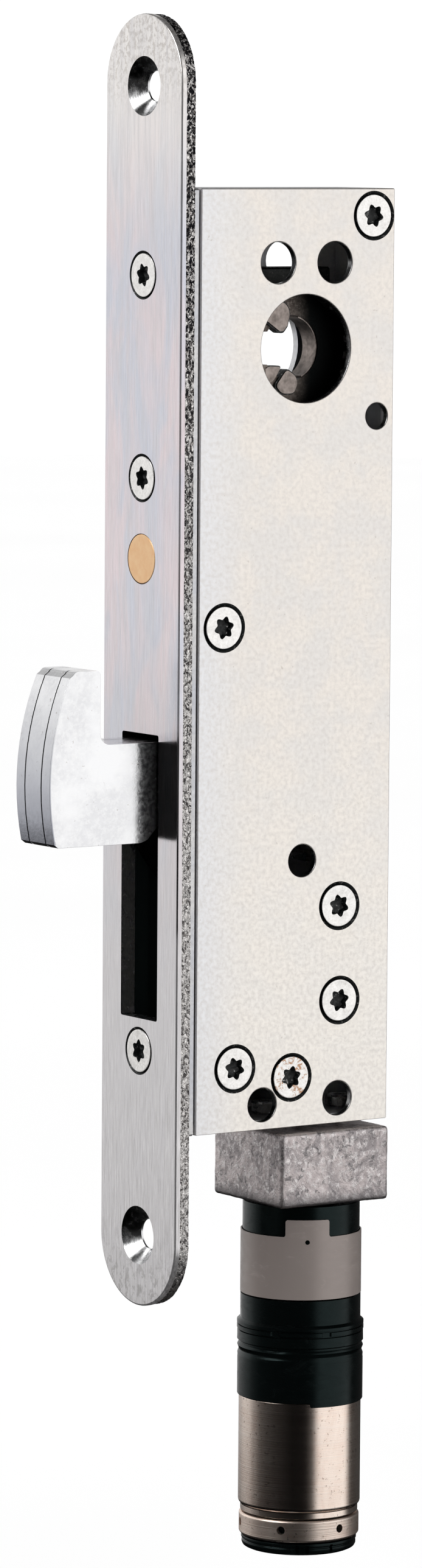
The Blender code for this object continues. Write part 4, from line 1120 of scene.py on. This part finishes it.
def shaped(name, loop_at, segments):
    """Turned about the motor's axis, from a loop of (radius, height) that changes with the angle."""
    shape = bmesh.new()
    columns = []
    for k in range(segments):
        degrees = 360 * k / segments
        points = [round_motor(radius, math.radians(degrees), z) for radius, z in loop_at(degrees)]
        columns.append([shape.verts.new(point * MM) for point in points])
    skin(shape, columns + columns[:1])
    return keep_shape(name, shape)


def collar_loop(degrees):
    """The collar's section at an angle: a bead that four gaps interrupt, and a skirt on one half.

    It goes up the bore that holds the can's top, in to the shaft's hole, out over the upper end and
    down the outside: a rim, the bead, a band, a groove and two ridges.
    """
    side = degrees - math.degrees(VIEW_SIDE)
    in_gap = any(abs(side % 180 - gap) < GAP_HALF for gap in GAP_SIDES)
    bead = 11.45 if in_gap else 11.8
    foot = -138.1 if (side - SKIRT_SIDE) % 360 < 180 else -137.35
    loop = [(11.45, foot), (11.3, -136.9), (11.3, -123.3), (3, -123.3), (3, -118.3), (11.2, -118.3)]
    loop += [(11.2, -122.9), (11.6, -123.2), (11.8, -123.4), (11.8, -123.85), (11.55, -123.95)]
    loop += [(11.55, -124.1), (bead, -124.2), (bead, -124.85), (11.5, -124.95), (11.5, -125.1)]
    loop += [(11.72, -125.25), (11.75, -127), (11.4, -127.25), (11.4, -127.6), (11.6, -127.8)]
    loop += [(11.72, -128.1), (11.6, -128.4), (11.48, -128.75), (11.48, -129.05), (11.6, -129.3)]
    loop += [(11.7, -129.6), (11.66, -130), (11.7, -130.4), (11.7, foot + 0.12), (11.62, foot)]
    return loop


def make_collar():
    """The moulded collar, with beads and a clip groove."""
    stand_for(shaped("motor_collar_fine", collar_loop, 360), "motor_collar")


def make_can():
    """The drawn can: a lid with the shaft's hole, a slimmer top in the collar and a drawn-in end."""
    inner, hole, top, outer, end = 10.2, 2.9, 11, 11.38, 10.95
    foot, lid, roof, step = -159.2, -125.2, -123.7, -137.4
    loop = [(inner, foot), (inner, lid), (hole, lid), (hole, roof), (top, roof), (top, step)]
    loop += [(outer, step), (outer, -157.2), (outer - 0.08, -157.6), (end, -157.95), (end, foot)]
    stand_for(motor_piece("motor_can", loop), "motor_can")


def make_end_ring():
    """The ring that closes the can, with a row of round vents."""
    low, high = span("end_ring")
    loop = [(9.9, low[2]), (9.9, high[2]), (10.95, high[2]), (11.2, high[2] - 0.3), (11.2, low[2] + 0.35)]
    loop += [(10.9, low[2])]
    vents = []
    for i in range(VENTS):
        angle = VIEW_SIDE + math.radians(VENT_SIDE + 360 / VENTS * i)
        ends = [round_motor(reach, angle, VENT_Z) for reach in (8, 13)]
        vents.append(bar(f"vent_{i}", *ends, VENT_R, 40))
    stand_for(cut(motor_piece("end_ring", loop), *vents), "end_ring", "motor_end")


def make_end_cap():
    """The rear cap: a plug in the end ring, a grooved rim, the terminals' slots and the rim's notches."""
    low, high = span("end_cap")
    loop = [(0, -163.2), (1.3, -163.2), (1.3, high[2]), (9.6, high[2]), (9.6, -163.9), (10.75, -163.9)]
    loop += [(10.75, -164.5), (10.45, -164.6), (10.45, -164.8), (10.65, -164.9), (10.65, -165.4)]
    loop += [(10.45, -165.85), (9.9, low[2]), (7.5, low[2]), (7.3, low[2] + 0.35), (0, low[2] + 0.35)]
    cutters = []
    for side in (1, -1):
        x = MOTOR_X + TERMINAL_OUT * side
        cutters.append(box("terminal_cutter", (x - 0.7, -1.8, -170), (x + 0.7, 1.8, -150)))
    for side in NOTCH_SIDES:
        angle = VIEW_SIDE + math.radians(side)
        notch = box("cap_notch", (-0.8, -0.3, -0.7), (0.8, 0.3, 0.7))
        spot = round_motor(10.9, angle, -164.9)
        notch.data.transform(Matrix.Translation(spot * MM) @ Matrix.Rotation(angle, 4, "Z"))
        cutters.append(notch)
    stand_for(cut(motor_piece("end_cap", loop, steps=2), *cutters), "end_cap")


# ---------------------------------------------------------------- block


def make_block():
    """A sand-rough casting: its faces are finely divided and pushed in by noise."""
    block = rounded(box("adapter_block_fine", *span("adapter_block")), 0.8)
    shape = bmesh.new()
    shape.from_mesh(block.data)
    for _ in range(BLOCK_SPLITS):
        long_edges = [edge for edge in shape.edges if edge.calc_length() > BLOCK_MESH * MM]
        if not long_edges:
            break
        bmesh.ops.subdivide_edges(shape, edges=long_edges, cuts=1, use_grid_fill=True)
    bmesh.ops.triangulate(shape, faces=[face for face in shape.faces if len(face.verts) > 4])
    shape.normal_update()
    for vert in shape.verts:
        spot = vert.co / MM
        rough = 0.5 + 0.5 * noise.fractal(spot * 0.9, 0.8, 2.2, 4)
        swell = 0.5 + 0.5 * noise.noise(spot * 0.16)
        vert.co -= vert.normal * (BLOCK_ROUGH * rough + BLOCK_SWELL * swell) * MM
    shape.to_mesh(block.data)
    shape.free()
    cutters = [bar("block_bore", (MOTOR_X, 0, -105), (MOTOR_X, 0, -80), 3.2)]
    cutters.append(bar("block_recess", (MOTOR_X, 0, -105), (MOTOR_X, 0, -94), 6.3))
    for node in ("block_screw_1", "block_screw_2"):
        x = middle_of(node)[0][0]
        cutters.append(bar(node + "_thread", (x, 0, -93.3), (x, 0, -80), 1.8))
    cut(block, *cutters, mark=1, overlapping=True)
    stand_for(block, "adapter_block", "cast_zinc", "bored_steel")


# ---------------------------------------------------------------- follower


def lug(name, outline, front):
    """A raised dog on the follower, in a dark seam of painted shade; its outline counts from the cylinder's
    axis.
    """
    x, z = CYLINDER
    back = FOLLOWER_FACE + 1.5
    loop = eased([(x + a, z + b) for a, b in outline], 0.8, 5)
    piece = rounded(extruded(name, loop, front, back, "Y"), 0.25)
    goes_with(even(piece), "follower", "follower_lug")
    middle = [sum(point[i] for point in loop) / len(loop) for i in (0, 1)]
    # The seam is a slightly wider near-black piece behind the dog: painted shade for the gap round it.
    wider = [tuple(m + (v - m) * SEAM for v, m in zip(point, middle)) for point in loop]
    seam = extruded(name + "_seam", wider, front + 0.3, back - 0.1, "Y")
    goes_with(even(seam), "follower", "socket")


def make_follower_details():
    """The dogs that a cylinder's cam drives, and the worn pad on the side of the bore."""
    front = FOLLOWER_FACE - 0.75
    upper = [(-7.4, 6.2), (-5.35, 4.7), (-2.9, 3.05), (-2.1, 3.1), (-1.3, 4.1), (-0.8, 6), (-1, 7.2)]
    upper += [(-2, 8.3), (-5.5, 8.6)]
    lug("follower_dog_upper", upper, front)
    lower = [(-3.7, -6.9), (-1.3, -3.9), (0.6, -5.1), (1.1, -6.5), (0.3, -8.3), (-2.4, -8.3)]
    lug("follower_dog_lower", lower, front)
    inner = [(-6.3, -4.3), (-5.1, -3.3), (-2.2, -3.4), (-3.9, -6), (-5.5, -6.6)]
    lug("follower_dog_inner", inner, front + 0.5)
    pad = arc(BORE_PAD[0], -64, 72, 44, CYLINDER) + arc(BORE_PAD[1], 72, -64, 44, CYLINDER)
    piece = rounded(extruded("follower_pad", pad, FOLLOWER_FACE + 0.3, 0.3, "Y"), 0.08)
    goes_with(even(piece), "follower", "follower_lug")


# ---------------------------------------------------------------- studio


def make_camera():
    a, e, r = CAMERA_AZIMUTH, CAMERA_ELEVATION, CAMERA_ROLL
    back = Vector((math.sin(a) * math.cos(e), -math.cos(a) * math.cos(e), math.sin(e)))
    level = Vector((math.cos(a), math.sin(a), 0))
    upright = back.cross(level)
    right = level * math.cos(r) + upright * math.sin(r)
    up = upright * math.cos(r) - level * math.sin(r)
    turn = Matrix((right, up, back)).transposed().to_4x4()
    data = bpy.data.cameras.new("camera")
    data.lens = CAMERA_LENS
    data.clip_start = 0.05
    data.clip_end = 60
    camera = linked("camera", data)
    camera.matrix_world = Matrix.Translation(Vector(CAMERA_PLACE) * MM) @ turn
    bpy.context.scene.camera = camera


def make_world():
    """Even white light all round."""
    world = bpy.data.worlds.new("studio")
    world.use_nodes = True
    sky = world.node_tree.nodes["Background"].inputs
    sky["Color"].default_value = (1, 1, 1, 1)
    sky["Strength"].default_value = WORLD_LIGHT
    bpy.context.scene.world = world


def make_floor():
    shape = bmesh.new()
    bmesh.ops.create_circle(shape, cap_ends=True, segments=96, radius=FLOOR_R * MM)
    floor = placed("floor", shape)
    floor.location = (0, 0, FLOOR_Z * MM)
    look = Look("pale_floor", (0.93, 0.93, 0.93), 0.9)
    look.colour(look.mix(look.noise(0.002, 2), (0.92, 0.92, 0.92), (0.95, 0.95, 0.95)))
    floor.data.materials.append(look.material)


def along(points, at):
    """The value at a place on an eased line through (place, value) points."""
    for (x0, y0), (x1, y1) in zip(points, points[1:]):
        if x0 <= at <= x1:
            t = (at - x0) / (x1 - x0)
            return y0 + (y1 - y0) * t * t * (3 - 2 * t)
    return points[-1][1]


def room_light(turn, rise):
    """The light of the room's wall at a place given in degrees round from the camera and up."""
    turn_to, rise_to, reach, light = KICKER
    off = math.hypot(turn - turn_to, rise - rise_to) / reach
    panel = light * max(0, min(1, 2.5 * (1 - off)))
    foot = along(ROOM_LEFT_FOOT, rise) if turn < -20 else 1
    return max(along(ROOM_ROUND, turn) * along(ROOM_UP, rise) * foot, panel)


def room_material():
    """Light as bright as the room's points say."""
    material = bpy.data.materials.new("room_light")
    material.use_nodes = True
    tree = material.node_tree
    tree.nodes.remove(tree.nodes["Principled BSDF"])
    glow = tree.nodes.new("ShaderNodeEmission")
    read = tree.nodes.new("ShaderNodeAttribute")
    read.attribute_name = "shade"
    tree.links.new(read.outputs["Color"], glow.inputs["Color"])
    tree.links.new(glow.outputs["Emission"], tree.nodes["Material Output"].inputs["Surface"])
    return material


def make_reflected_room():
    """What the metal mirrors: a dome of white panels with dark gaps, seen by reflections alone."""
    shape = bmesh.new()
    shade = shape.verts.layers.float_color.new("shade")
    low = FLOOR_Z + 10
    rim = [(radius, low, math.degrees(math.atan2(low, radius)), radius) for radius in ROOM_FLOOR_ROWS]
    rim += [(ROOM_R * math.cos(a), ROOM_R * math.sin(a), math.degrees(a), ROOM_R) for a in ROOM_RISE]
    rings = []
    for radius, height, rise, reach in rim:
        ring = []
        for i in range(ROOM_STEPS):
            turn = -180 + 360 * i / ROOM_STEPS
            angle = CAMERA_AZIMUTH + math.radians(turn)
            place = Vector((radius * math.sin(angle), -radius * math.cos(angle), height))
            vert = shape.verts.new(place * MM)
            light = room_light(turn, rise) * along(ROOM_FLOOR, reach)
            vert[shade] = (light, light, light, 1)
            ring.append(vert)
        rings.append(ring)
    skin(shape, rings)
    room = placed("reflected_room", shape)
    room.data.materials.append(room_material())
    for ray in ("camera", "diffuse", "shadow", "transmission", "volume_scatter"):
        setattr(room, "visible_" + ray, False)


def softbox(name, from_camera, distance, height, size, watts):
    """A large soft light that shapes the matt surfaces and doesn't show in the metal."""
    turn = CAMERA_AZIMUTH + math.radians(from_camera)
    place = Vector((distance * math.sin(turn), -distance * math.cos(turn), height)) * MM
    data = bpy.data.lights.new(name, "AREA")
    data.shape = "RECTANGLE"
    data.size, data.size_y = size[0] * MM, size[1] * MM
    data.energy = watts
    light = linked(name, data)
    light.location = place
    light.rotation_euler = (-place).to_track_quat("-Z", "Y").to_euler()
    light.visible_camera = False
    light.visible_glossy = False


def make_studio():
    make_camera()
    make_world()
    make_floor()
    make_reflected_room()
    softbox("softbox_right", 60, 1500, 500, (900, 1400), 3)
    softbox("softbox_left", -105, 1500, 300, (700, 1400), 1)
    bpy.context.scene.view_settings.view_transform = "Standard"


make_faceplate()
make_screws()
make_sensor()
make_cover()
make_label()
make_gearhead_housing()
make_collar()
make_can()
make_end_ring()
make_end_cap()
make_block()
make_follower_details()
refine_cad_nodes()
make_studio()
